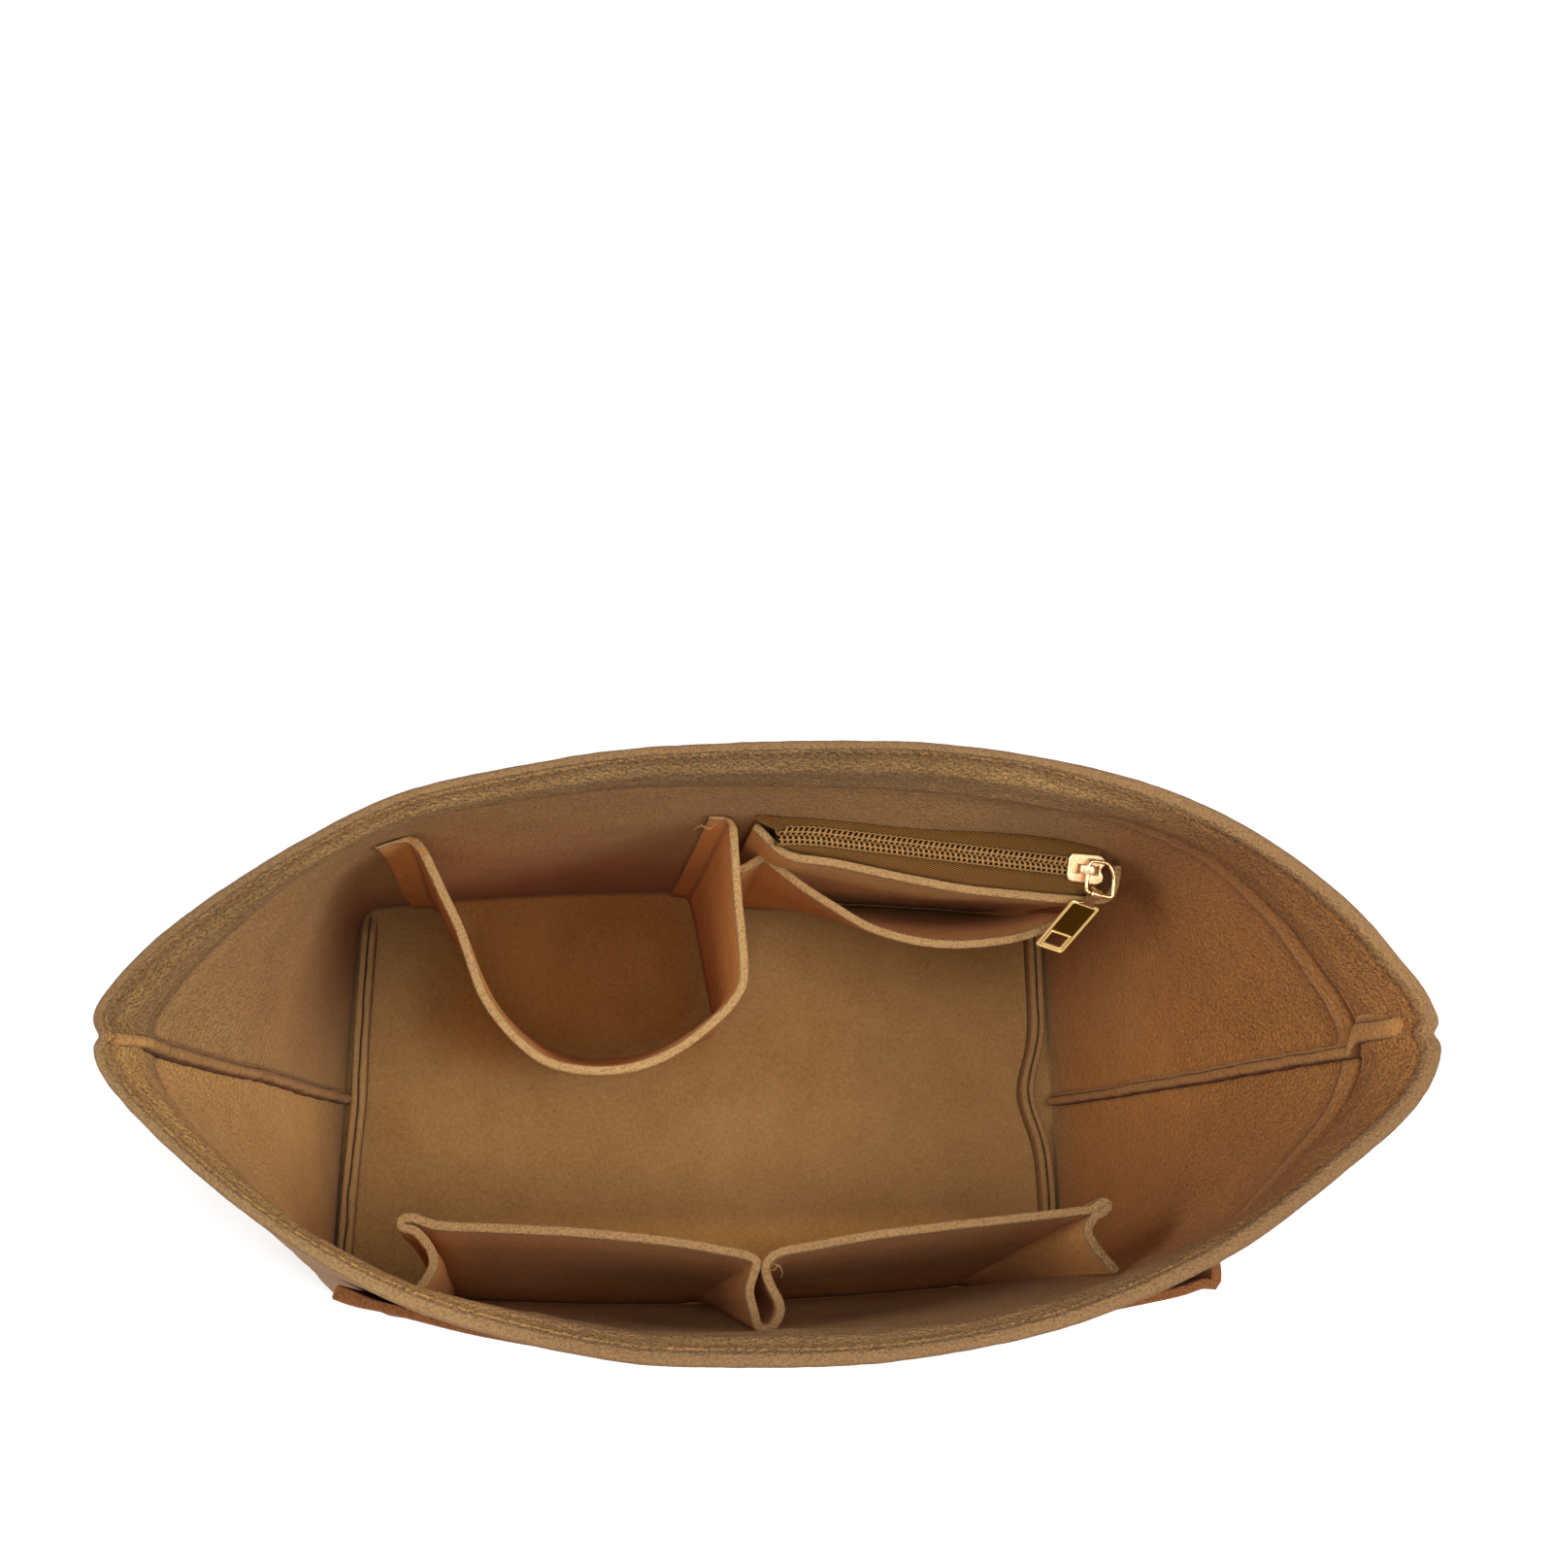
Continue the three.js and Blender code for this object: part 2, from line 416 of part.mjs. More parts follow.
// ---------------------------------------------------------------- slider, link and tab
{
  const HL = 6.5, W = 4.9;
  const plan = new THREE.Shape();
  plan.moveTo(-HL, -W + 0.9); plan.lineTo(-HL + 0.9, -W + 0.2); plan.lineTo(1, -W - 0.1); plan.lineTo(4.6, -W - 0.3); plan.lineTo(HL - 0.2, -W + 0.9);
  plan.lineTo(HL, -1.8); plan.lineTo(HL - 1.6, 0); plan.lineTo(HL, 1.8); plan.lineTo(HL - 0.2, W - 0.9); plan.lineTo(4.6, W + 0.3);
  plan.lineTo(1, W + 0.1); plan.lineTo(-HL + 0.9, W - 0.2); plan.lineTo(-HL, W - 0.9); plan.closePath();
  const prism = new THREE.ExtrudeGeometry(plan, { depth: 8, bevelEnabled: false });
  prism.translate(0, 0, -4);
  const f = W - 1.0;
  let body = solid(boxAt(-8, 8, -6, 6, 1.45, 2.6)).add(solid(boxAt(-8, 8, -6, 6, -2.4, -1.45)));
  for (const s of [-1, 1]) {
    const y0 = s > 0 ? f : -6, y1 = s > 0 ? 6 : -f;
    body = body.add(solid(boxAt(-8, 8, y0, y1, 0.7, 1.6))).add(solid(boxAt(-8, 8, y0, y1, -1.6, -0.7)));
  }
  body = body.intersect(solid(prism));
  // the post that parts the two coils
  body = body.add(solid(boxAt(0.6, 4.7, -0.42, 0.42, -1.6, 1.6)));
  // the bridge that holds the link
  const arch = new THREE.Shape();
  arch.moveTo(-3.7, 0); arch.lineTo(-3.5, 2.3); arch.lineTo(-2.4, 3.7); arch.lineTo(-0.6, 4.3); arch.lineTo(1.4, 4.3); arch.lineTo(3.0, 3.7); arch.lineTo(4.1, 2.3); arch.lineTo(4.3, 0);
  arch.closePath();
  const hole = new THREE.Path();
  hole.moveTo(-1.3, 0.7); hole.lineTo(2.0, 0.7); hole.lineTo(2.0, 2.6); hole.lineTo(1.4, 3.2); hole.lineTo(-0.8, 3.2); hole.lineTo(-1.3, 2.6); hole.closePath();
  arch.holes.push(hole);
  const bridge = new THREE.ExtrudeGeometry(arch, { depth: 3.8, bevelEnabled: false });
  bridge.rotateX(Math.PI / 2);
  bridge.translate(0, 1.9, 2.5);
  body = body.add(solid(bridge));
  add('slider_body', fromSolid(body), GOLD, zipper);
}
// wire link: a closed loop whose left side runs through the bridge
const linkZ = (x, y) => 4.55 - 0.126 * (x - 0.3) - 0.029 * y;
{
  const corners = [[0.2, -7.6], [0.4, 3.2], [7.4, 3.0], [9.9, -0.6], [10.4, -8.9]], path = [];
  corners.forEach((p, i) => {
    const a = corners[(i + 4) % 5], b = corners[(i + 1) % 5];
    const r = 1.5, da = Math.hypot(a[0] - p[0], a[1] - p[1]), db = Math.hypot(b[0] - p[0], b[1] - p[1]);
    const A = [p[0] + (a[0] - p[0]) * r / da, p[1] + (a[1] - p[1]) * r / da], B = [p[0] + (b[0] - p[0]) * r / db, p[1] + (b[1] - p[1]) * r / db];
    for (const t of [0, 0.35, 0.65, 1]) path.push([lerp(lerp(A[0], p[0], t), lerp(p[0], B[0], t), t), lerp(lerp(A[1], p[1], t), lerp(p[1], B[1], t), t)]);
  });
  const n = path.length, up = new THREE.Vector3(0.125, 0.029, 0.992).normalize();
  const P = path.map(p => new THREE.Vector3(p[0], p[1], linkZ(p[0], p[1])));
  const rings = P.map((p, i) => {
    const t = P[(i + 1) % n].clone().sub(P[(i + n - 1) % n]).normalize(), side = new THREE.Vector3().crossVectors(up, t).normalize();
    const ring = [];
    for (let k = 0; k < 8; k++) {
      const a = Math.PI * 2 * k / 8;
      const q = p.clone().addScaledVector(side, WIRE_R * Math.cos(a)).addScaledVector(up, WIRE_R * Math.sin(a));
      ring.push(q.toArray());
    }
    return ring;
  });
  add('pull_link', loft(rings, true), GOLD, zipper);
}
// pull tab, hanging from the link's front bar
{
  const eye = zipper.localToWorld(new THREE.Vector3(3.8, -8.07, linkZ(3.8, -8.07)));
  const bar = zipper.localToWorld(new THREE.Vector3(10.4, -8.9, linkZ(10.4, -8.9))).sub(zipper.localToWorld(new THREE.Vector3(0.2, -7.6, linkZ(0.2, -7.6)))).normalize();
  const b = new THREE.Vector3(-0.34, -0.49, -0.80).normalize();
  const a = bar.clone().addScaledVector(b, -bar.dot(b)).normalize();
  const c = new THREE.Vector3().crossVectors(a, b);
  const tab = new THREE.Group();
  tab.position.copy(eye);
  tab.quaternion.setFromRotationMatrix(new THREE.Matrix4().makeBasis(a, b, c));
  insert.add(tab);
  const w = TAB_W / 2, t0 = NECK_L, t1 = NECK_L + TAB_L;
  const plate = new THREE.Shape();
  plate.moveTo(-1.9, 0.6); plate.lineTo(-1.9, t0 - 0.6); plate.lineTo(-w + 0.9, t0); plate.lineTo(-w, t0 + 0.9); plate.lineTo(-w, t1 - 0.6); plate.lineTo(-w + 0.6, t1);
  plate.lineTo(w - 0.6, t1); plate.lineTo(w, t1 - 0.6); plate.lineTo(w, t0 + 0.9); plate.lineTo(w - 0.9, t0); plate.lineTo(1.9, t0 - 0.6); plate.lineTo(1.9, 0.6); plate.closePath();
  const win = new THREE.Path();
  win.moveTo(-w + 1.6, t1 - 8.2); win.lineTo(w - 1.6, t1 - 8.2); win.lineTo(w - 1.6, t1 - 1.9); win.lineTo(-w + 1.6, t1 - 1.9); win.closePath();
  plate.holes.push(win);
  const pg = new THREE.ExtrudeGeometry(plate, { depth: TAB_T, bevelEnabled: false });
  pg.translate(0, 0, -TAB_T / 2);
  const barrel = new THREE.CylinderGeometry(2.1, 2.1, 3.8, 16);
  barrel.rotateZ(Math.PI / 2);
  const bore = new THREE.CylinderGeometry(1.3, 1.3, 8, 12);
  bore.rotateZ(Math.PI / 2);
  const g = solid(pg).add(solid(barrel)).subtract(solid(bore));
  add('pull_tab', fromSolid(g), GOLD, tab);
}

// ---------------------------------------------------------------- slip pocket, in front of the zip pocket
{
  const zt = SLIP_Z, zb = 7.5;
  const top = [[10.0, 68.6], [19.3, 63.9], [29.9, 57.5], [42.2, 50.2], [54.6, 45.2], [66.9, 42.9], [83.1, 43.0], [97.1, 45.0], [106.6, 48.2], [114.6, 52.4]].map(p => [...p, zt]);
  const bx = [11, 20, 31, 43, 55, 67, 83, 96, 105, 113.5];
  const bot = bx.map(x => byWall(1, x, zb, FELT * 1.5 + 2 * GAP + 0.5));
  add('slip_pocket_front', sheet(ruled(bot, top, [0, 0.5, 1]), FELT), FELT_MAT);
  // its left end turns back towards the bottle pocket and is caught there
  const ft = [[-1.4, 68.4, zt], [6.0, 70.0, zt]], fb = [[1.6, 73.0, 60], [6.2, 73.4, 60]];
  add('slip_pocket_flange', sheet(ruled(fb, ft, [0, 0.5, 1]), FELT), FELT_MAT);
}

// ---------------------------------------------------------------- two gusseted pockets inside the front
{
  const zt = POCKET_Z, zb = 7, d = FELT / 2 + GAP;
  const fw = (x, z, k) => byWall(-1, x, z, k);
  const lt = [[-112.6, -49.6], [-104, -51.3], [-89.8, -52.1], [-59.3, -54.8], [-28.4, -58.1], [-14.4, -60.8], [-4.6, -63.6]].map(p => [...p, zt]);
  const lb = [-99.5, -92, -80, -54, -27, -14.5, -5.6].map(x => fw(x, zb, d));
  add('front_pocket_left', sheet(ruled(lb, lt, [0, 0.5, 1]), FELT), FELT_MAT);
  const rt = [[1.0, -62.8], [16.9, -58.8], [37.1, -56.1], [57.8, -53.8], [78.8, -51.7], [103, -50.8], [111.6, -49.6]].map(p => [...p, zt]);
  const rb = [2.6, 16, 36, 56, 77, 91, 99].map(x => fw(x, zb, d));
  add('front_pocket_right', sheet(ruled(rb, rt, [0, 0.5, 1]), FELT), FELT_MAT);
  // gussets: full depth at the mouth, closing towards the base between the wall and the front
  const gusset = (name, top, xs, panelTop, panelBot) => {
    const zLow = 56, px = (z) => lerp(panelBot, panelTop, (z - zb) / (zt - zb));
    const w = (x, z) => wallY(-1, x, z, FELT) + 1.1;
    const low = [[xs[0], w(xs[0], zLow), zLow], null, [xs[2], px(zLow) - FELT / 2 - 0.7, zLow]];
    low[1] = [xs[1], (low[0][1] + low[2][1]) / 2, zLow];
    const hi = [[top[0][0], w(top[0][0], zt), zt], [...top[1], zt], [...top[2], zt]];
    add(name, sheet(ruled(low, hi, [0, 0.5, 1]), FELT), FELT_MAT);
  };
  gusset('front_gusset_left', [[-109.6], [-106.2, -61.6], [-109.6, -54.6]], [-103.6, -102.6, -103.6], -50.4, lb[1][1]);
  gusset('front_gusset_right', [[114.8], [107.9, -61.6], [108.3, -54.6]], [102.4, 101.6, 102.4], -50.4, rb[5][1]);
  gusset('front_gusset_middle_left', [[-4.2], [-7.4, -74.5], [-4.6, -67.4]], [-5.2, -6.6, -5.8], -63.6, lb[6][1]);
  gusset('front_gusset_middle_right', [[1.0], [4.8, -77.0], [1.2, -67.4]], [1.8, 3.4, 2.2], -63.0, rb[0][1]);
}

// ---------------------------------------------------------------- pocket outside the front
{
  const zt = OUTER_Z, zb = 4;
  const off = (x, z) => wallY(-1, x, z, -(FELT / 2 + GAP + 0.2));
  const t = [[-133.6, -71.0], [-125.6, -74.0], [-114.4, -76.8], [-100, -79.6], [-84, -82.2], [-60, -85.6], [-30, -88.6], [0, -90.0], [30, -89.4], [60, -86.6], [90, -83.2], [116, -79.2], [130, -76.4], [140.2, -73.4]];
  const top = t.map(p => [p[0], Math.min(p[1], off(p[0], zt)), zt]);
  const bx = [-118, -111, -101, -88, -73, -52, -26, 0, 26, 52, 78, 98, 108, 116];
  const bot = bx.map(x => [x, off(x, zb), zb]);
  const rows = ruled(bot, top, [0, 0.25, 0.5, 0.75, 1]);
  for (const row of rows) for (const p of row) p[1] = Math.min(p[1], off(p[0], p[2]));
  add('outer_pocket', sheet(rows, FELT), FELT_OUT);
  // its ends turn back to the wall
  const yAt = (x, z) => {
    const f = (z - zb) / (zt - zb) * 4, j = Math.min(3, Math.floor(f)), g = f - j;
    const row = rows[j].map((p, i) => [lerp(p[0], rows[j + 1][i][0], g), lerp(p[1], rows[j + 1][i][1], g)]);
    for (let i = 1; i < row.length; i++) if (x <= row[i][0]) return lerp(row[i - 1][1], row[i][1], (x - row[i - 1][0]) / (row[i][0] - row[i - 1][0]));
    return row[row.length - 1][1];
  };
  const turn = (name, xt, xb, zLow) => {
    const at2 = (x, z) => [[x, wallY(-1, x, z, -1.0), z], [x, yAt(x, z) + FELT / 2 + 0.9, z]];
    add(name, sheet(ruled(at2(xb, zLow), at2(xt, zt), [0, 0.5, 1]), 2.4), FELT_OUT);
  };
  turn('outer_gusset_right', 133.0, 128.0, 120);
}

export default insert;
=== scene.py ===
import math

import bpy
import numpy as np
from mathutils import Matrix, Vector


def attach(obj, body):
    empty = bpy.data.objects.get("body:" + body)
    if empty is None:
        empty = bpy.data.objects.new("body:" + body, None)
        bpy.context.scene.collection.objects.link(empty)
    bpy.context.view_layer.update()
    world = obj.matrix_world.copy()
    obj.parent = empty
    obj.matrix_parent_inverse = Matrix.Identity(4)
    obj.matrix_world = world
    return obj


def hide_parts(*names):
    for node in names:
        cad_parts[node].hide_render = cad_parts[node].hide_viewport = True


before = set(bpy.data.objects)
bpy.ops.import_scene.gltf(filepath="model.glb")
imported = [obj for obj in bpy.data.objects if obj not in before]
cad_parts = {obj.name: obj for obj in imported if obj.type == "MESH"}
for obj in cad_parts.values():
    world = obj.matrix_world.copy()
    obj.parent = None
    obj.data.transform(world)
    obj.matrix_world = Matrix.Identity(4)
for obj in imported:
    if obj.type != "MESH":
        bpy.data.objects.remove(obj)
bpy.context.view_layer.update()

MM = 0.001


# ------------------------------------------------------------------ numbers shared with the frame
FELT = 3.0
HEM_H = 34.0
GAP = 0.35
TIP_H, MID_H = 244.0, 250.0
BASE_A, BASE_L, BASE_SKEW = 145.0, 149.0, 0.045
BASE_BACK, BASE_FRONT, BASE_BOW, CORNER_R = 88.0, 84.0, 7.5, 12.0
POCKET_Z, ZIP_Z, SLIP_Z, OUTER_Z = 162.0, 156.0, 132.0, 185.0
SEAM_L, SEAM_R = (0.6, -1.2), (-1.5, -2.3)
SLIDER = np.array([113.1, 64.5, 162.0])
RIM_BACK = [[-195, -1.2], [-196.3, 3.4], [-195.2, 7.9], [-191.6, 13.6], [-184.2, 22.8], [-176.6, 30.2], [-160.4, 42.8], [-142.2, 54.3],
            [-114.3, 67.7], [-75.9, 77.2], [-36.6, 82.5], [3.6, 84.7], [44.8, 84.2], [86.6, 78.9], [118.6, 70.4], [150.4, 53.6],
            [172.8, 35.9], [184.7, 21.6], [191.4, 13.0], [194.8, 6.5], [196, 1.4], [194.8, -2.3]]
RIM_FRONT = [[-195, -1.2], [-195.7, -4.6], [-193.8, -10.4], [-190.2, -15.6], [-174.9, -31.2], [-147.1, -53.8], [-114, -73.3], [-83.6, -83.8],
             [-47.3, -91.7], [-1, -93.7], [37, -90.2], [72, -84.1], [98, -75.8], [128.7, -62.3], [162.6, -41.2],
             [181.8, -27.6], [189.2, -20.2], [193.4, -13.9], [195.9, -6.6], [194.8, -2.3]]
NS = 1200


# ------------------------------------------------------------------ noise
def _hash(x, y, z, seed):
    n = (x * 73856093) ^ (y * 19349663) ^ (z * 83492791) ^ (seed * 26544357)
    n = n & 0xffffffff
    n = ((n ^ (n >> 13)) * 1274126177) & 0xffffffff
    n = n ^ (n >> 16)
    n = (n * 668265263) & 0xffffffff
    n = n ^ (n >> 15)
    return (n & 0xffff) / 65535.0


def noise(p, size, seed=0, octaves=1):
    """Smooth value noise from -1 to 1 at points p (..., 3), features about size mm wide."""
    p = np.asarray(p, float)
    total, amp, norm = 0.0, 1.0, 0.0
    for o in range(octaves):
        q = p / (size / 2 ** o) + 37.3 * (o + 1)
        i = np.floor(q).astype(np.int64)
        f = q - i
        f = f * f * f * (f * (f * 6 - 15) + 10)
        v = 0.0
        for dx in (0, 1):
            wx = f[..., 0] if dx else 1 - f[..., 0]
            for dy in (0, 1):
                wy = f[..., 1] if dy else 1 - f[..., 1]
                for dz in (0, 1):
                    wz = f[..., 2] if dz else 1 - f[..., 2]
                    v = v + wx * wy * wz * _hash(i[..., 0] + dx, i[..., 1] + dy, i[..., 2] + dz, seed + 11 * o)
        total = total + amp * (2 * v - 1)
        norm += amp
        amp *= 0.5
    return total / norm


def n1(x, size, seed=0, octaves=1):
    x = np.asarray(x, float)
    return noise(np.stack([x, x * 0 + 3.7, x * 0 + 9.1], -1), size, seed, octaves)


def smooth(a, b, x):
    t = np.clip((np.asarray(x, float) - a) / (b - a), 0, 1)
    return t * t * (3 - 2 * t)


def unit(v):
    v = np.asarray(v, float)
    return v / np.maximum(np.linalg.norm(v, axis=-1, keepdims=True), 1e-9)


def lerp(a, b, t):
    return a + (b - a) * t


# ------------------------------------------------------------------ curves
def hermite_rows(rows, seg, t, dt):
    """Centripetal Catmull-Rom through the columns of rows (nj, nc, 3), with knots dt (nc - 1)."""
    rows = np.asarray(rows, float)
    nc = rows.shape[1]
    P1, P2 = rows[:, seg], rows[:, seg + 1]
    P0 = np.where((seg > 0)[None, :, None], rows[:, np.maximum(seg - 1, 0)], 2 * P1 - P2)
    P3 = np.where((seg < nc - 2)[None, :, None], rows[:, np.minimum(seg + 2, nc - 1)], 2 * P2 - P1)
    d1 = dt[seg][None, :, None]
    d0 = np.where(seg > 0, dt[np.maximum(seg - 1, 0)], dt[seg])[None, :, None]
    d2 = np.where(seg < nc - 2, dt[np.minimum(seg + 1, nc - 2)], dt[seg])[None, :, None]
    m1 = ((P1 - P0) / d0 - (P2 - P0) / (d0 + d1) + (P2 - P1) / d1) * d1
    m2 = ((P2 - P1) / d1 - (P3 - P1) / (d1 + d2) + (P3 - P2) / d2) * d1
    t = t[None, :, None]
    return ((2 * t ** 3 - 3 * t ** 2 + 1) * P1 + (t ** 3 - 2 * t ** 2 + t) * m1
            + (-2 * t ** 3 + 3 * t ** 2) * P2 + (t ** 3 - t ** 2) * m2)


def spline_rows(rows, n=None, step=1.6):
    """Columns of control points made smooth, evenly spaced along the last row."""
    rows = np.asarray(rows, float)
    top = rows[-1]
    dt = np.maximum(np.sqrt(np.linalg.norm(np.diff(top, axis=0), axis=1)), 1e-2)
    nc = rows.shape[1]
    k = 60
    seg = np.repeat(np.arange(nc - 1), k)
    t = np.tile(np.arange(k) / k, nc - 1)
    seg, t = np.append(seg, nc - 2), np.append(t, 1.0)
    fine = hermite_rows(rows[-1:], seg, t, dt)[0]
    s = np.concatenate([[0], np.cumsum(np.linalg.norm(np.diff(fine, axis=0), axis=1))])
    if n is None:
        n = max(3, int(round(s[-1] / step)) + 1)
    g = np.interp(np.linspace(0, s[-1], n), s, seg + t)
    sg = np.minimum(np.floor(g).astype(int), nc - 2)
    return hermite_rows(rows, sg, g - sg, dt)


def spline(points, n=None, step=1.0):
    return spline_rows(np.asarray(points, float)[None], n, step)[0]


# ------------------------------------------------------------------ the wall's surface
def _spaced(points):
    p = np.array([[a, b, 0.0] for a, b in points])
    return spline_rows(p[None], NS + 1)[0][:, :2]


def _edge_y(side, x):
    return (BASE_BACK if side > 0 else BASE_FRONT) - BASE_BOW * (x / BASE_A) ** 2


def _base_line(side):
    pts = [(-BASE_A, SEAM_L[0] * side)]
    yc = _edge_y(side, BASE_A - CORNER_R)
    for k in range(13):
        a = math.pi / 2 * k / 12
        pts.append((-BASE_A + CORNER_R * (1 - math.cos(a)), yc - CORNER_R * (1 - math.sin(a))))
    for k in range(1, 30):
        x = -(BASE_A - CORNER_R) + 2 * (BASE_A - CORNER_R) * k / 30
        pts.append((x, _edge_y(side, x)))
    for k in range(13):
        a = math.pi / 2 * k / 12
        pts.append((BASE_A - CORNER_R * (1 - math.sin(a)), yc - CORNER_R * (1 - math.cos(a))))
    pts.append((BASE_A, SEAM_R[0] * side))
    p = np.array(pts)
    k = np.maximum(0, -p[:, 0] / BASE_A)
    q = np.stack([p[:, 0] + k * k * (BASE_A - BASE_L + BASE_SKEW * p[:, 1] * side), p[:, 1] * side], -1)
    s = np.concatenate([[0], np.cumsum(np.linalg.norm(np.diff(q, axis=0), axis=1))])
    g = np.linspace(0, s[-1], NS + 1)
    return np.stack([np.interp(g, s, q[:, 0]), np.interp(g, s, q[:, 1])], -1)


RIM = {1: _spaced(RIM_BACK), -1: _spaced(RIM_FRONT)}
BASE = {1: _base_line(1), -1: _base_line(-1)}
UU = np.linspace(0, 1, NS + 1)


def _at(lines, side, u):
    u = np.asarray(u, float)
    side = np.broadcast_to(side, u.shape)
    out = np.empty(u.shape + (2,))
    for s in (1, -1):
        m = side == s
        for c in (0, 1):
            out[m, c] = np.interp(u[m], UU, lines[s][:, c])
    return out


def seam_y(left, z):
    return np.where(left, SEAM_L[0] + (SEAM_L[1] - SEAM_L[0]) * z / TIP_H, SEAM_R[0] + (SEAM_R[1] - SEAM_R[0]) * z / TIP_H)


def rim_z(side, u):
    return TIP_H + (MID_H - TIP_H) * (1 - (_at(RIM, side, u)[..., 0] / 196) ** 2)


def outer(side, u, z):
    u, z = np.broadcast_arrays(np.asarray(u, float), np.asarray(z, float))
    side = np.broadcast_to(side, u.shape)
    b, r = _at(BASE, side, u), _at(RIM, side, u)
    t = (z / rim_z(side, u))[..., None]
    p = b + (r - b) * t
    x, y = p[..., 0], p[..., 1]
    dy = np.where(side > 0,
                  -4.2 * np.exp(-((x - 52) / 40) ** 2 - ((z - 152) / 58) ** 2) + 3.6 * np.exp(-((x + 124) / 30) ** 2 - ((z - 150) / 60) ** 2),
                  1.8 * np.exp(-((x + 72) / 48) ** 2 - ((z - 195) / 60) ** 2) + 2.1 * np.exp(-((x - 5) / 34) ** 2 - ((z - 213) / 22) ** 2)
                  - 3.1 * np.exp(-((x - 114) / 28) ** 2 - ((z - 165) / 42) ** 2))
    return np.stack([x, y + dy], -1)


def inward(side, u, z):
    a, b = outer(side, np.maximum(0, u - 0.004), z), outer(side, np.minimum(1, u + 0.004), z)
    t = unit(b - a)
    side = np.broadcast_to(side, t.shape[:-1])[..., None]
    return np.stack([t[..., 1], -t[..., 0]], -1) * side


def wall_point(side, u, z, inset):
    u, z, inset = np.broadcast_arrays(np.asarray(u, float), np.asarray(z, float), np.asarray(inset, float))
    side = np.broadcast_to(side, u.shape)
    o, n = outer(side, u, z), inward(side, u, z)
    left = u < 0.5
    ys = seam_y(left, z) + 0.12 * side
    x = o[..., 0] + n[..., 0] * inset
    y = o[..., 1] + n[..., 1] * inset
    y = np.where((y - ys) * side < 0, ys, y)
    seam = (u < 1e-6) | (u > 1 - 1e-6)
    x = np.where(seam, o[..., 0] + np.where(left, 1, -1) * inset * 1.05, x)
    y = np.where(seam, seam_y(left, z), y)
    return np.stack([x, y, z], -1)


def wall_y(side, x, z, inset):
    """The wall's y at a given x and height, inset mm in from its outer face."""
    x, z, inset = np.broadcast_arrays(np.asarray(x, float), np.asarray(z, float), np.asarray(inset, float))
    a, b = np.full(x.shape, 0.06), np.full(x.shape, 0.94)
    for _ in range(34):
        m = (a + b) / 2
        low = wall_point(side, m, z, inset)[..., 0] < x
        a, b = np.where(low, m, a), np.where(low, b, m)
    return wall_point(side, (a + b) / 2, z, inset)[..., 1]


def by_wall(side, x, z, d):
    """A point d mm in from the wall's inner face."""
    return [float(x), float(wall_y(side, x, z, FELT + d)), float(z)]


# the zipper's own frame
TURN, TILT = math.atan2(-0.1127, 1), math.radians(18)
E1 = np.array([math.cos(TURN), math.sin(TURN), 0])
E2 = np.array([-math.sin(TURN) * math.cos(TILT), math.cos(TURN) * math.cos(TILT), math.sin(TILT)])
E3 = np.cross(E1, E2)


def zip_world(p):
    p = np.asarray(p, float)
    return SLIDER + p[..., 0:1] * E1 + p[..., 1:2] * E2 + p[..., 2:3] * E3


def warp(p):
    """The give of the felt: one slow wander that neighbouring pieces share, none at the zipper or under the base."""
    p = np.asarray(p, float)
    d = p - SLIDER
    x = np.clip(d @ E1, -108, 12)
    off = np.linalg.norm(d - x[..., None] * E1, axis=-1)
    w = smooth(14, 46, off)
    k = np.stack([noise(p, 64, 5, 2), noise(p, 64, 6, 2), noise(p, 70, 7, 2) * 0.8], -1) * 1.1
    k[..., 2] *= smooth(2, 60, p[..., 2])
    k[..., :2] *= (0.25 + 0.75 * smooth(0, 50, p[..., 2]))[..., None]
    return p + k * w[..., None]


def unwarp(p):
    """Where a point has to start so that the felt's give takes it to p."""
    p = np.asarray(p, float)
    return 2 * p - warp(p)


# ------------------------------------------------------------------ meshes
def painted_warm_shade_amount(p, name):
    """Painted shade: the felt turns a redder, darker brown at the right end, round the bottle pocket and on the
    pockets' sheets, where shade and light bounced off the felt fall.
    """
    right = smooth(85, 150, p[:, 0]) * smooth(-2, 30, p[:, 2])
    pouch = smooth(-125, -92, p[:, 0]) * smooth(8, -14, p[:, 0]) * smooth(4, 30, p[:, 1]) * smooth(120, 50, p[:, 2])
    own = {"felt_bottle_pocket": 0.85, "felt_front_pockets": 0.8, "felt_slip_pocket": 0.6}.get(name, 0.0)
    w = np.maximum(np.maximum(right, 0.85 * pouch), own)
    return np.clip(w + 0.18 * noise(p, 45, 91, 2), 0, 1)


def painted_fill_light_amount(p, name):
    """Painted fill light: the pockets' sheets, the inside of the front pockets and the left end, more on its front
    half, are lightened where they lie in shade.
    """
    own = {"felt_bottle_pocket": 1.0, "felt_front_pockets": 0.4, "felt_slip_pocket": 0.75, "felt_zip_pocket": 0.75}.get(name, 0.0)
    inside = smooth(-44, -56, p[:, 1]) * smooth(112, 100, np.abs(p[:, 0])) * smooth(120, 40, p[:, 2])
    ends = (0.14 + 0.48 * (p[:, 1] < 0)) * smooth(-60, -110, p[:, 0]) * smooth(10, 60, p[:, 2])
    return np.clip(np.maximum(np.maximum(0.7 * inside, ends), own), 0, 1)


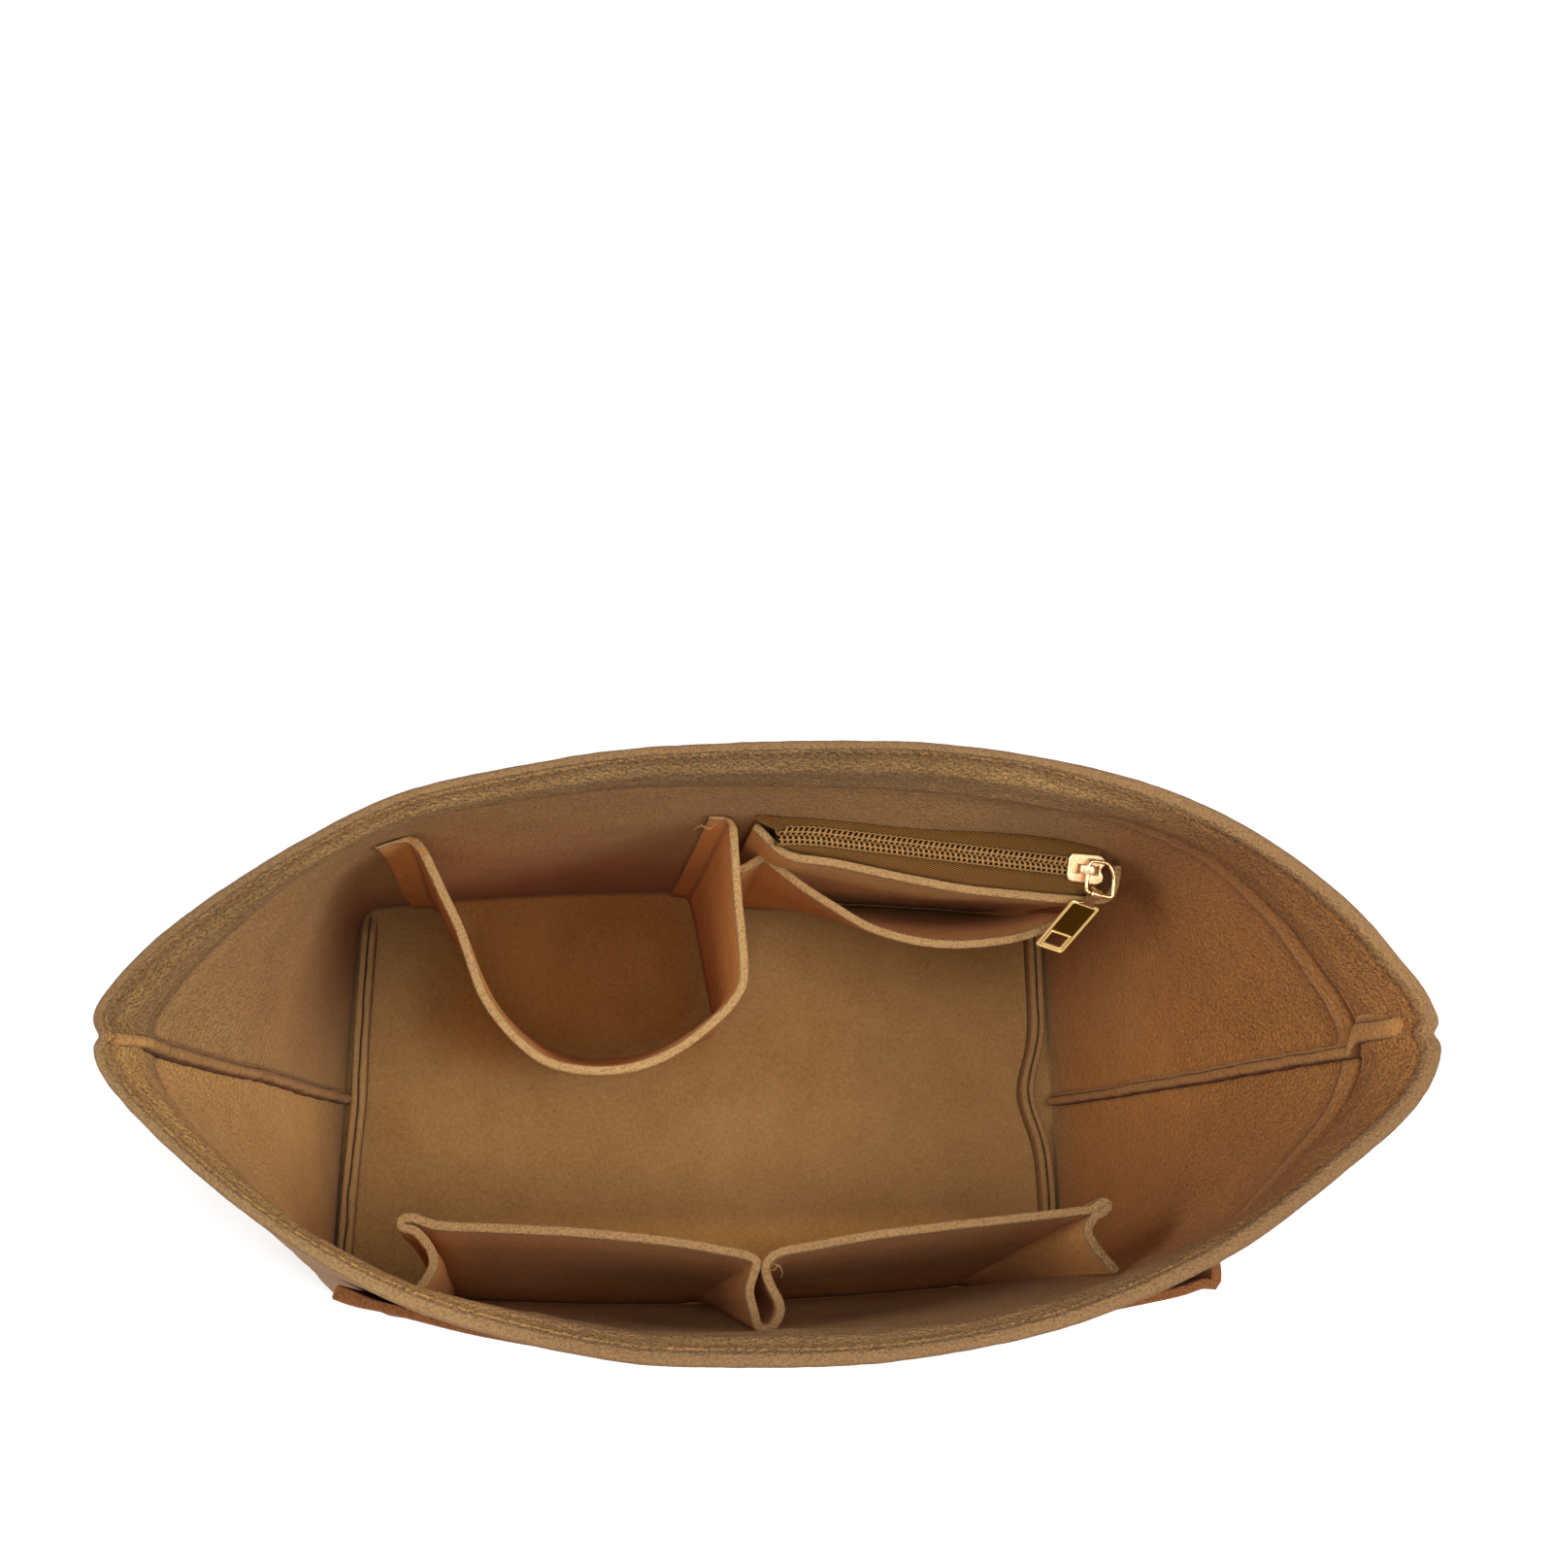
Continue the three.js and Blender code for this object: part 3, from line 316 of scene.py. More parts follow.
def painted_shade_amount(p, name):
    """Painted shade: on the base inside and beside the bottle pocket and towards the left, on the left seam strip,
    strongest towards its top, and low on the slip and zip pockets' sheets.
    """
    if name.startswith("seam_strip"):
        return 0.55 * smooth(-150, -185, p[:, 0]) + 0.3 * smooth(10, -20, p[:, 0])
    if name != "felt_body":
        return 0.3 * smooth(60, 10, p[:, 2]) if name in ("felt_slip_pocket", "felt_zip_pocket") else np.zeros(len(p))
    low = smooth(26, 6, p[:, 2])
    x, y = p[:, 0], p[:, 1]
    spot = lambda cx, cy, rx, ry, a: a * np.exp(-((x - cx) / rx) ** 2 - ((y - cy) / ry) ** 2)
    inside = smooth(1.05, 0.8, ((x + 48) / 52) ** 2 + ((y - 62) / 48) ** 2)
    d = inside * (0.45 + spot(-38, 58, 28, 26, 0.75)) + spot(-112, 34, 20, 30, 0.75) + spot(-74, 4, 26, 12, 0.35)
    d = np.maximum(d, lerp(0.42, 0.12, smooth(-130, 40, x)))
    d = d + 0.12
    return np.clip(d * low + 0.12 * noise(p, 30, 93, 2) * low, 0, 1)


def make_mesh(name, verts, faces, mat, body="insert", slot="felt", attrs=None, sharp=42.0, mats=None, mat_index=None):
    """A closed mesh from vertices in mm and a list of (n, k) arrays of vertex numbers."""
    verts = np.asarray(verts, float)
    vol = 0.0
    for f in faces:
        f = np.asarray(f)
        if not len(f):
            continue
        for k in range(1, f.shape[1] - 1):
            A, B, C = verts[f[:, 0]], verts[f[:, k]], verts[f[:, k + 1]]
            vol += np.einsum("ij,ij->i", A, np.cross(B, C)).sum()
    if vol < 0:
        faces = [np.asarray(f)[:, ::-1] for f in faces]
    me = bpy.data.meshes.new(name)
    me.vertices.add(len(verts))
    me.vertices.foreach_set("co", (verts * MM).astype(np.float32).ravel())
    loops = np.concatenate([np.asarray(f, np.int32).ravel() for f in faces if len(f)])
    sizes = np.concatenate([np.full(len(f), np.asarray(f).shape[1]) for f in faces if len(f)])
    starts = np.concatenate([[0], np.cumsum(sizes)[:-1]]).astype(np.int32)
    me.loops.add(len(loops))
    me.loops.foreach_set("vertex_index", loops)
    me.polygons.add(len(sizes))
    me.polygons.foreach_set("loop_start", starts)
    me.update(calc_edges=True)
    me.validate()
    me.polygons.foreach_set("use_smooth", np.ones(len(me.polygons), bool))
    if sharp:
        me.set_sharp_from_angle(angle=math.radians(sharp))
    attrs = dict(attrs or {})
    # the camel felt carries painted shade and painted fill light as point attributes
    if mat.name == "felt_camel":
        attrs["painted_warm_shade"] = painted_warm_shade_amount(verts, name)
        attrs["painted_fill_light"] = painted_fill_light_amount(verts, name)
        attrs["painted_shade"] = painted_shade_amount(verts, name)
    for key, val in attrs.items():
        a = me.attributes.new(key, "FLOAT", "POINT")
        a.data.foreach_set("value", np.asarray(val, np.float32))
    o = bpy.data.objects.new(name, me)
    bpy.context.scene.collection.objects.link(o)
    for m in (mats or [mat]):
        me.materials.append(m)
    if mat_index is not None and len(mat_index) == len(me.polygons):
        me.polygons.foreach_set("material_index", np.asarray(mat_index, np.int32))
    if body:
        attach(o, body)
    return o


def loft_faces(n, m, closed=False, base=0, caps=True, ring_closed=True):
    """Quads between n rings of m points each; ends closed by strips across the ring."""
    i, j = np.meshgrid(np.arange(n if closed else n - 1), np.arange(m if ring_closed else m - 1), indexing="ij")
    k, ii = (j + 1) % m, (i + 1) % n
    quads = np.stack([i * m + j, ii * m + j, ii * m + k, i * m + k], -1).reshape(-1, 4) + base
    out = [quads]
    if caps and not closed:
        for i0, flip in ((0, False), (n - 1, True)):
            lo, hi, c = 0, m - 1, []
            while hi - lo > 2:
                f = [i0 * m + lo, i0 * m + lo + 1, i0 * m + hi - 1, i0 * m + hi]
                c.append(f[::-1] if flip else f)
                lo, hi = lo + 1, hi - 1
            if c:
                out.append(np.array(c) + base)
            if hi - lo == 2:
                f = [i0 * m + lo, i0 * m + lo + 1, i0 * m + hi]
                out.append(np.array([f[::-1] if flip else f]) + base)
    return out


class Parts:
    """Several closed shells joined in one mesh."""

    def __init__(self):
        self.v, self.f, self.a, self.n = [], [], {}, 0

    def add(self, verts, faces, **attrs):
        verts = np.asarray(verts, float).reshape(-1, 3)
        faces = [np.asarray(f) for f in faces if len(f)]
        vol = 0.0
        for f in faces:
            for k in range(1, f.shape[1] - 1):
                A, B, C = verts[f[:, 0]], verts[f[:, k]], verts[f[:, k + 1]]
                vol += np.einsum("ij,ij->i", A, np.cross(B, C)).sum()
        if vol < 0:
            faces = [f[:, ::-1] for f in faces]
        self.v.append(verts)
        self.f += [f + self.n for f in faces]
        for key in set(self.a) | set(attrs):
            old = self.a.setdefault(key, np.zeros(self.n))
            new = np.broadcast_to(attrs.get(key, 0.0), (len(verts),))
            self.a[key] = np.concatenate([old, new])
        self.n += len(verts)

    def make(self, name, mat, **kw):
        sizes = {}
        for f in self.f:
            sizes.setdefault(f.shape[1], []).append(f)
        return make_mesh(name, np.concatenate(self.v), [np.concatenate(v) for v in sizes.values()], mat, attrs=self.a, **kw)


def frames(path, up=(0, 0, 1), closed=False):
    """Tangent, side and normal along a path, with the normal near up."""
    if closed:
        t = unit(np.roll(path, -1, 0) - np.roll(path, 1, 0))
    else:
        t = unit(np.gradient(path, axis=0))
    up = np.broadcast_to(np.asarray(up, float), path.shape)
    s = unit(np.cross(up, t))
    return t, s, np.cross(t, s)


def tube(path, r, m=8, up=(0, 0, 1), closed=False, flat=1.0):
    """A round wire along a path: its rings and faces."""
    path = np.asarray(path, float)
    t, s, n = frames(path, up, closed)
    a = np.arange(m) / m * 2 * math.pi
    r = np.broadcast_to(np.asarray(r, float), (len(path),))[:, None, None]
    ring = path[:, None] + r * (np.cos(a)[None, :, None] * s[:, None] + flat * np.sin(a)[None, :, None] * n[:, None])
    v = ring.reshape(-1, 3)
    faces = loft_faces(len(path), m, closed, caps=True)
    return v, faces


def thick(G, th=FELT, r=0.75, end_r=0.6, rough=0.0, seed=1, round_bottom=False, do_warp=True):
    """A sheet of felt from its middle surface G (nj, ni, 3), with soft cut edges: rings, faces and an edge mask."""
    G = np.array(G, float)
    nj, ni = G.shape[:2]
    h = th / 2 if np.ndim(th) == 0 else np.asarray(th) / 2
    h = np.broadcast_to(h, (nj, ni))
    # cut edges wander a little
    if rough:
        tj = unit(G[-1] - G[-2])
        G[-1] += tj * (n1(np.arange(ni) * 1.6, 9, seed, 2) * rough)[:, None]
    di = np.gradient(G, axis=1)
    dj = np.gradient(G, axis=0)
    N = unit(np.cross(di, dj))
    # a soft station at each end
    tiL, tiR = unit(G[:, 0] - G[:, 1]), unit(G[:, -1] - G[:, -2])
    steps = [(0.0, 1.0), (0.45, 0.9), (0.85, 0.62), (1.0, 0.3)] if end_r else [(0.0, 1.0)]
    cols, norms, halves, rim = [], [], [], []
    for k, (d, w) in reversed(list(enumerate(steps))):
        cols.append(G[:, 0] - tiL * end_r * (1 - d)); norms.append(N[:, 0]); rim.append(np.full(nj, d))
        halves.append(h[:, 0] - end_r * (1 - math.sqrt(max(0, 1 - d * d))) if k else h[:, 0])
    for i in range(1, ni - 1):
        cols.append(G[:, i]); norms.append(N[:, i]); halves.append(h[:, i]); rim.append(np.zeros(nj))
    for k, (d, w) in enumerate(steps):
        cols.append(G[:, -1] - tiR * end_r * (1 - d)); norms.append(N[:, -1]); rim.append(np.full(nj, d))
        halves.append(h[:, -1] - end_r * (1 - math.sqrt(max(0, 1 - d * d))) if k else h[:, -1])
    C, N, H, E = (np.stack(a, 1) for a in (cols, norms, halves, rim))
    n = C.shape[1]
    tj = unit(C[-1] - C[-2])
    tb = unit(C[0] - C[1])
    C[-1] = C[-1] - tj * r
    A, B = C + N * H[..., None], C - N * H[..., None]
    rows, mask = [], []
    dtop = np.concatenate([[0], np.cumsum(np.linalg.norm(np.diff(C[::-1], axis=0), axis=-1).mean(1))])[::-1]
    if round_bottom:
        rows.append(C[0] + N[0] * (H[0] - r)[:, None] * 1.0 + tb * 0); mask.append(np.ones(n))
        A[0] = A[0] - tb * r; B[0] = B[0] - tb * r
    for j in range(nj):
        rows.append(A[j]); mask.append(np.maximum(np.exp(-dtop[j] / 1.3), E[j]))
    for a in (35, 68, 90):
        q = math.radians(a)
        rows.append(C[-1] + N[-1] * (H[-1] - r + r * math.cos(q))[:, None] + tj * r * math.sin(q)); mask.append(np.ones(n))
    rows.append(C[-1] + tj * r * 1.0); mask.append(np.ones(n))
    for a in (90, 68, 35):
        q = math.radians(a)
        rows.append(C[-1] - N[-1] * (H[-1] - r + r * math.cos(q))[:, None] + tj * r * math.sin(q)); mask.append(np.ones(n))
    for j in range(nj - 1, -1, -1):
        rows.append(B[j]); mask.append(np.maximum(np.exp(-dtop[j] / 1.3), E[j]))
    if round_bottom:
        rows.append(C[0] - N[0] * (H[0] - r)[:, None]); mask.append(np.ones(n))
    V = np.stack(rows, 1)  # (n, m, 3)
    M = np.stack(mask, 1)
    if do_warp:
        V = warp(V)
    m = V.shape[1]
    return V.reshape(-1, 3), loft_faces(n, m), M.ravel()


# ------------------------------------------------------------------ materials
def srgb(h):
    c = [((h >> s) & 255) / 255 for s in (16, 8, 0)]
    return tuple(x / 12.92 if x <= 0.04045 else ((x + 0.055) / 1.055) ** 2.4 for x in c) + (1.0,)


class Nodes:
    def __init__(self, name):
        self.mat = bpy.data.materials.new(name)
        self.mat.use_nodes = True
        self.t = self.mat.node_tree
        self.t.nodes.clear()
        self.out = self.t.nodes.new("ShaderNodeOutputMaterial")
        self.bsdf = self.t.nodes.new("ShaderNodeBsdfPrincipled")
        self.t.links.new(self.bsdf.outputs[0], self.out.inputs[0])
        self.co = self.t.nodes.new("ShaderNodeTexCoord").outputs["Object"]

    def link(self, a, b):
        self.t.links.new(a, b)
        return self

    def noise(self, scale, detail=3.0, rough=0.55, vec=None, distortion=0.0):
        n = self.t.nodes.new("ShaderNodeTexNoise")
        n.inputs["Scale"].default_value = scale
        n.inputs["Detail"].default_value = detail
        n.inputs["Roughness"].default_value = rough
        n.inputs["Distortion"].default_value = distortion
        self.link(vec or self.co, n.inputs["Vector"])
        return n.outputs["Fac"]

    def mapping(self, scale=(1, 1, 1), rot=(0, 0, 0), loc=(0, 0, 0)):
        n = self.t.nodes.new("ShaderNodeMapping")
        n.inputs["Scale"].default_value = scale
        n.inputs["Rotation"].default_value = rot
        n.inputs["Location"].default_value = loc
        self.link(self.co, n.inputs["Vector"])
        return n.outputs["Vector"]

    def math(self, op, a, b=None, clamp=False):
        n = self.t.nodes.new("ShaderNodeMath")
        n.operation = op
        n.use_clamp = clamp
        for k, v in enumerate((a, b)):
            if v is None:
                continue
            if isinstance(v, (int, float)):
                n.inputs[k].default_value = v
            else:
                self.link(v, n.inputs[k])
        return n.outputs[0]

    def range(self, v, a, b, c, d):
        n = self.t.nodes.new("ShaderNodeMapRange")
        for k, x in enumerate((a, b, c, d)):
            n.inputs[k + 1].default_value = x
        self.link(v, n.inputs[0])
        return n.outputs[0]

    def mix(self, fac, a, b, mode="MIX"):
        n = self.t.nodes.new("ShaderNodeMix")
        n.data_type = "RGBA"
        n.blend_type = mode
        ins = [s for s in n.inputs if s.enabled]
        for sock, v in zip(ins, (fac, a, b)):
            if isinstance(v, (int, float)):
                sock.default_value = v
            elif isinstance(v, tuple):
                sock.default_value = v
            else:
                self.link(v, sock)
        return [s for s in n.outputs if s.enabled][0]

    def attr(self, name):
        n = self.t.nodes.new("ShaderNodeAttribute")
        n.attribute_name = name
        return n.outputs["Fac"]

    def ramp(self, v, stops):
        n = self.t.nodes.new("ShaderNodeValToRGB")
        e = n.color_ramp.elements
        while len(e) < len(stops):
            e.new(0.5)
        for x, (p, c) in zip(e, stops):
            x.position, x.color = p, c
        self.link(v, n.inputs[0])
        return n.outputs[0]

    def bump(self, height, dist, strength=1.0):
        n = self.t.nodes.new("ShaderNodeBump")
        n.inputs["Strength"].default_value = strength
        n.inputs["Distance"].default_value = dist
        self.link(height, n.inputs["Height"])
        self.link(n.outputs[0], self.bsdf.inputs["Normal"])
        return self

    def set(self, **kw):
        for k, v in kw.items():
            self.bsdf.inputs[k.replace("_", " ")].default_value = v
        return self


def felt_material(name, mid, dark, light, edge, grain=1.0, sheen=0.05):
    """Pressed wool felt: matted short fibres, cloudy colour, paler cut edges and coarser grain on the turned-over
    band; painted shade, painted fill light and painted highlights are mixed into the colour from mesh attributes.
    """
    m = Nodes(name)
    f1 = m.noise(1.0, 2.0, 0.6, m.mapping((2600, 520, 700), (0.3, 0.5, 0.6)))
    f2 = m.noise(1.0, 2.0, 0.6, m.mapping((560, 2400, 640), (0.9, -0.4, -0.7)))
    f3 = m.noise(1.0, 2.0, 0.6, m.mapping((620, 700, 2500), (-0.5, 0.8, 0.3)))
    fibre = m.math("MAXIMUM", m.math("MAXIMUM", f1, f2), f3)
    lump = m.noise(620, 2.0, 0.5)
    cloud = m.noise(60, 3.0, 0.6)
    slow = m.noise(11, 2.0, 0.5)
    hem, cut = m.attr("hem"), m.attr("cut")
    tone = m.math("ADD", m.math("MULTIPLY", fibre, 0.55), m.math("MULTIPLY", lump, 0.3))
    tone = m.math("ADD", tone, m.math("MULTIPLY", cloud, 0.22))
    tone = m.math("ADD", tone, m.math("MULTIPLY", slow, 0.16))
    col = m.ramp(tone, [(0.42, dark), (0.62, mid), (0.86, light)])
    grainy = m.math("MAXIMUM", hem, m.math("MULTIPLY", cut, 0.55))
    pits = m.range(m.noise(1250, 1.5, 0.5), 0.34, 0.48, 1.0, 0.0)
    nubs = m.range(m.noise(1500, 1.5, 0.5), 0.52, 0.66, 0.0, 1.0)
    # painted fill light: lightens the felt where the fill-light attribute is set, not on the outer faces
    col = m.mix(m.math("MULTIPLY", m.attr("painted_fill_light"), m.math("SUBTRACT", 1.0, m.attr("outside"), True)), col, m.mix(1.0, col, (1.8, 1.75, 1.42, 1), "MULTIPLY"))
    inner = m.math("SUBTRACT", 1.0, m.attr("outside"), True)  # the inside's tones stay inside
    # painted shade: a redder, darker brown where the warm-shade attribute is set, kept off the outer faces and cut
    # edges
    col = m.mix(m.math("MULTIPLY", m.math("MULTIPLY", m.attr("painted_warm_shade"), inner), m.math("SUBTRACT", 1.0, cut, True)), col, m.mix(1.0, col, (1.0, 0.74, 0.48, 1), "MULTIPLY"))
    # painted shade: darkens the felt where the shade attribute is set
    col = m.mix(m.attr("painted_shade"), col, m.mix(1.0, col, (0.62, 0.56, 0.48, 1), "MULTIPLY"))
    # cut edges take the felt's edge colour, lightened by the painted fill light
    col = m.mix(m.math("MULTIPLY", cut, 0.85), col, m.mix(m.attr("painted_fill_light"), edge, tuple(min(1.0, c * k) for c, k in zip(edge[:3], (1.38, 1.55, 1.65))) + (1,)))
    # painted shade on the roll of the fold and the hem band, which face the lamps above
    col = m.mix(m.attr("rim"), col, m.mix(1.0, col, (0.72, 0.735, 0.76, 1), "MULTIPLY"))
    # painted shade on the hem and the roll of the fold
    col = m.mix(m.attr("dim"), col, m.mix(1.0, col, (0.52, 0.51, 0.47, 1), "MULTIPLY"))
    # painted shade: the body's outer faces darkened to the outer pocket's tone
    col = m.mix(m.attr("outside"), col, m.mix(1.0, col, (0.6, 0.47, 0.34, 1), "MULTIPLY"))
    col = m.mix(m.math("MULTIPLY", m.math("MULTIPLY", pits, grainy), 0.8), col, m.mix(1.0, col, (0.5, 0.43, 0.36, 1), "MULTIPLY"))
    col = m.mix(m.math("MULTIPLY", m.math("MULTIPLY", nubs, grainy), 0.75), col, m.mix(1.0, col, (1.4, 1.38, 1.32, 1), "MULTIPLY"))
    # painted highlight along raised edges: the hem's lower edge, the step of its allowance and the seams' cut edges
    col = m.mix(m.math("MULTIPLY", m.attr("lite"), 0.6), col, light)
    # painted shade in creases, grooves, folds and where sheets meet the base
    col = m.mix(m.attr("crease"), col, m.mix(1.0, col, (0.26, 0.18, 0.12, 1), "MULTIPLY"))
    m.link(col, m.bsdf.inputs["Base Color"])
    h = m.math("ADD", m.math("MULTIPLY", fibre, 0.5), m.math("MULTIPLY", lump, m.math("ADD", 0.7, m.math("MULTIPLY", hem, 1.5))))
    h = m.math("ADD", h, m.math("MULTIPLY", cut, m.math("MULTIPLY", m.noise(1300, 2.0, 0.6), 1.1)))
    h = m.math("ADD", h, m.math("MULTIPLY", m.math("MULTIPLY", pits, grainy), -0.45))
    m.bump(h, 0.00068 * grain, 1.0)
    m.link(m.range(fibre, 0.3, 0.8, 0.98, 0.84), m.bsdf.inputs["Roughness"])
    m.set(Sheen_Weight=sheen, Sheen_Roughness=0.6)
    m.bsdf.inputs["Specular IOR Level"].default_value = 0.18
    return m.mat


FELT_IN = felt_material("felt_camel", srgb(0xA47C4A), srgb(0x8A6435), srgb(0xB9905E), srgb(0x8B6843))
# the camel felt darkened, a painted-shade copy of it for the outer pocket
FELT_OUT_SHADED = felt_material("felt_outside", srgb(0x804D24), srgb(0x603716), srgb(0x945F32), srgb(0x7A4A24), grain=1.2)


def tape_material():
    m = Nodes("zip_tape")
    v = m.t.nodes.new("ShaderNodeVectorMath")
    v.operation = "SUBTRACT"
    m.link(m.co, v.inputs[0])
    v.inputs[1].default_value = tuple(SLIDER * MM)

    def along(e):
        d = m.t.nodes.new("ShaderNodeVectorMath")
        d.operation = "DOT_PRODUCT"
        m.link(v.outputs[0], d.inputs[0])
        d.inputs[1].default_value = tuple(e)
        return d.outputs["Value"]

    x, y = along(E1), along(E2)
    # herringbone: slanting ribs that turn at each wale
    wale = m.math("PINGPONG", y, 0.0011)
    rib = m.math("SINE", m.math("MULTIPLY", m.math("ADD", x, m.math("MULTIPLY", y, -1.55)), 2 * math.pi / 0.00125))
    cross = m.math("SINE", m.math("MULTIPLY", y, 2 * math.pi / 0.00055))
    weave = m.math("ADD", m.math("MULTIPLY", rib, 0.62), m.math("MULTIPLY", m.math("MULTIPLY", cross, wale), 120.0))
    fuzz = m.noise(1900, 3.0, 0.6)
    h = m.math("ADD", weave, m.math("MULTIPLY", fuzz, 0.6))
    col = m.ramp(m.range(h, -0.25, 0.95, 0, 1), [(0.12, srgb(0x2E1B08)), (0.36, srgb(0x66421C)), (0.6, srgb(0x7F5526)), (0.95, srgb(0x976B34))])
    col = m.mix(m.range(m.noise(90, 2.0, 0.5), 0.35, 0.7, 0.0, 0.35), col, srgb(0x66411A))
    # painted shade: the tape under the coil and where it tucks behind the felt turns near black
    col = m.mix(m.attr("line"), col, srgb(0x1E1208))
    m.link(col, m.bsdf.inputs["Base Color"])
    m.bump(h, 0.00026, 1.0)
    m.link(m.range(fuzz, 0.3, 0.7, 0.75, 0.9), m.bsdf.inputs["Roughness"])
    m.set(Sheen_Weight=0.0)
    m.bsdf.inputs["Specular IOR Level"].default_value = 0.15
    return m.mat


def nylon_material():
    m = Nodes("nylon_coil")
    n = m.noise(700, 3.0, 0.6)
    col = m.ramp(n, [(0.3, srgb(0x84602E)), (0.55, srgb(0xA67A46)), (0.8, srgb(0xC0945C))])
    m.link(col, m.bsdf.inputs["Base Color"])
    m.link(m.range(m.noise(1500, 2.0), 0.3, 0.7, 0.36, 0.52), m.bsdf.inputs["Roughness"])
    m.bump(m.noise(2600, 2.0), 0.00006, 0.6)
    m.bsdf.inputs["Specular IOR Level"].default_value = 0.25
    return m.mat


def thread_material(name, a, b, sheen=0.1):
    m = Nodes(name)
    n = m.noise(2600, 3.0, 0.6)
    m.link(m.ramp(n, [(0.3, a), (0.7, b)]), m.bsdf.inputs["Base Color"])
    m.bump(m.noise(1.0, 2.0, 0.5, m.mapping((5200, 5200, 1700), (0.6, 0.5, 0.3))), 0.00012, 1.0)
    m.link(m.range(n, 0.2, 0.8, 0.7, 0.92), m.bsdf.inputs["Roughness"])
    m.set(Sheen_Weight=sheen)
    m.bsdf.inputs["Specular IOR Level"].default_value = 0.12
    return m.mat


def gold_material(name, worn, base, rough, field=None, metal=1.0):
    m = Nodes(name)
    n = m.noise(420, 4.0, 0.6)
    s = m.noise(1.0, 3.0, 0.6, m.mapping((2400, 240, 240), (0.2, 0.3, 0.4)))
    col = m.ramp(m.math("ADD", m.math("MULTIPLY", n, 0.7), m.math("MULTIPLY", s, 0.3)), [(0.3, worn), (0.6, base)])
    r = m.range(m.math("ADD", m.math("MULTIPLY", n, 0.5), m.math("MULTIPLY", s, 0.5)), 0.3, 0.7, rough[0], rough[1])
    if field:
        col = m.mix(m.attr("field"), col, field)
        r = m.math("ADD", r, m.math("MULTIPLY", m.attr("field"), 0.12))
        # painted highlight: the tab's rims are pale gold and less metallic, so they stay bright whatever they reflect
        col = m.mix(m.attr("edge"), col, srgb(0xFFDC92))
        m.link(m.math("SUBTRACT", metal, m.math("MULTIPLY", m.attr("edge"), 0.55), True), m.bsdf.inputs["Metallic"])
    m.link(col, m.bsdf.inputs["Base Color"])
    m.link(r, m.bsdf.inputs["Roughness"])
    m.bump(m.math("ADD", n, m.math("MULTIPLY", s, 0.4)), 0.000003, 0.15)
    if not field:
        m.set(Metallic=metal)
    return m.mat


TAPE = tape_material()
NYLON = nylon_material()
THREAD = thread_material("sewing_thread", srgb(0x9B7040), srgb(0xBE9560))
THREAD_PALE = thread_material("zip_thread", srgb(0x8A6436), srgb(0xAC8650))
# the core cord's near-black is painted shade between the coil's turns
CORD_SHADE_DARK = thread_material("core_cord_painted_shade", srgb(0x241206), srgb(0x38200E), 0.0)
# the rim stitches' darker brown is the thread's own colour together with painted shade of the pits it sinks into
THREAD_BROWN_SHADE = thread_material("rim_thread_painted_shade", srgb(0x6E4A22), srgb(0x8C6436), 0.0)
GOLD = gold_material("gold_plate", srgb(0xE0AE62), srgb(0xFFE0AC), (0.14, 0.24), field=srgb(0x8A6A22), metal=0.9)
ROSE = gold_material("gold_rose", srgb(0xCC9A68), srgb(0xE8C298), (0.24, 0.34), metal=0.85)


# ------------------------------------------------------------------ camera, light and floor
R = (Matrix.Rotation(-0.246, 3, "X") @ Matrix.Rotation(0.142, 3, "Y") @ Matrix.Rotation(0.022, 3, "Z"))
cam_data = bpy.data.cameras.new("camera")
cam = bpy.data.objects.new("camera", cam_data)
bpy.context.scene.collection.objects.link(cam)
cam.matrix_world = Matrix.Translation(Vector((-0.085583, -0.061871, 0.780476))) @ R.transposed().to_4x4()
cam_data.sensor_width = 36
cam_data.sensor_fit = "AUTO"
cam_data.lens = 1944.244 * 36 / 1615
cam_data.clip_start, cam_data.clip_end = 0.01, 60
bpy.context.scene.camera = cam


def area(name, loc, target, size, power, color=(1, 1, 1)):
    d = bpy.data.lights.new(name, "AREA")
    d.shape = "DISK"
    d.size = size
    d.energy = power
    d.color = color
    o = bpy.data.objects.new(name, d)
    bpy.context.scene.collection.objects.link(o)
    o.location = loc
    o.rotation_euler = (Vector(target) - Vector(loc)).to_track_quat("-Z", "Y").to_euler()
    return o


area("key", (0.9, -0.2, 1.5), (0.0, 0.0, 0.1), 0.9, 19, (1.0, 0.985, 0.96))
area("over", (-0.11, -0.09, 1.5), (0, 0, 0), 0.6, 10)
area("front", (-0.2, -1.2, 1.3), (0, 0.05, 0.15), 1.0, 4.5)
area("back", (0.0, 1.1, 1.4), (0, -0.05, 0.15), 0.9, 1.5)
area("left", (-1.3, 0.0, 1.2), (0.1, 0, 0.12), 0.9, 12)
world = bpy.data.worlds.new("studio")
bpy.context.scene.world = world
world.use_nodes = True
bg = world.node_tree.nodes["Background"]
bg.inputs[0].default_value = (1.0, 1.0, 1.0, 1)
bg.inputs[1].default_value = 0.34
bpy.context.scene.view_settings.view_transform = "Standard"


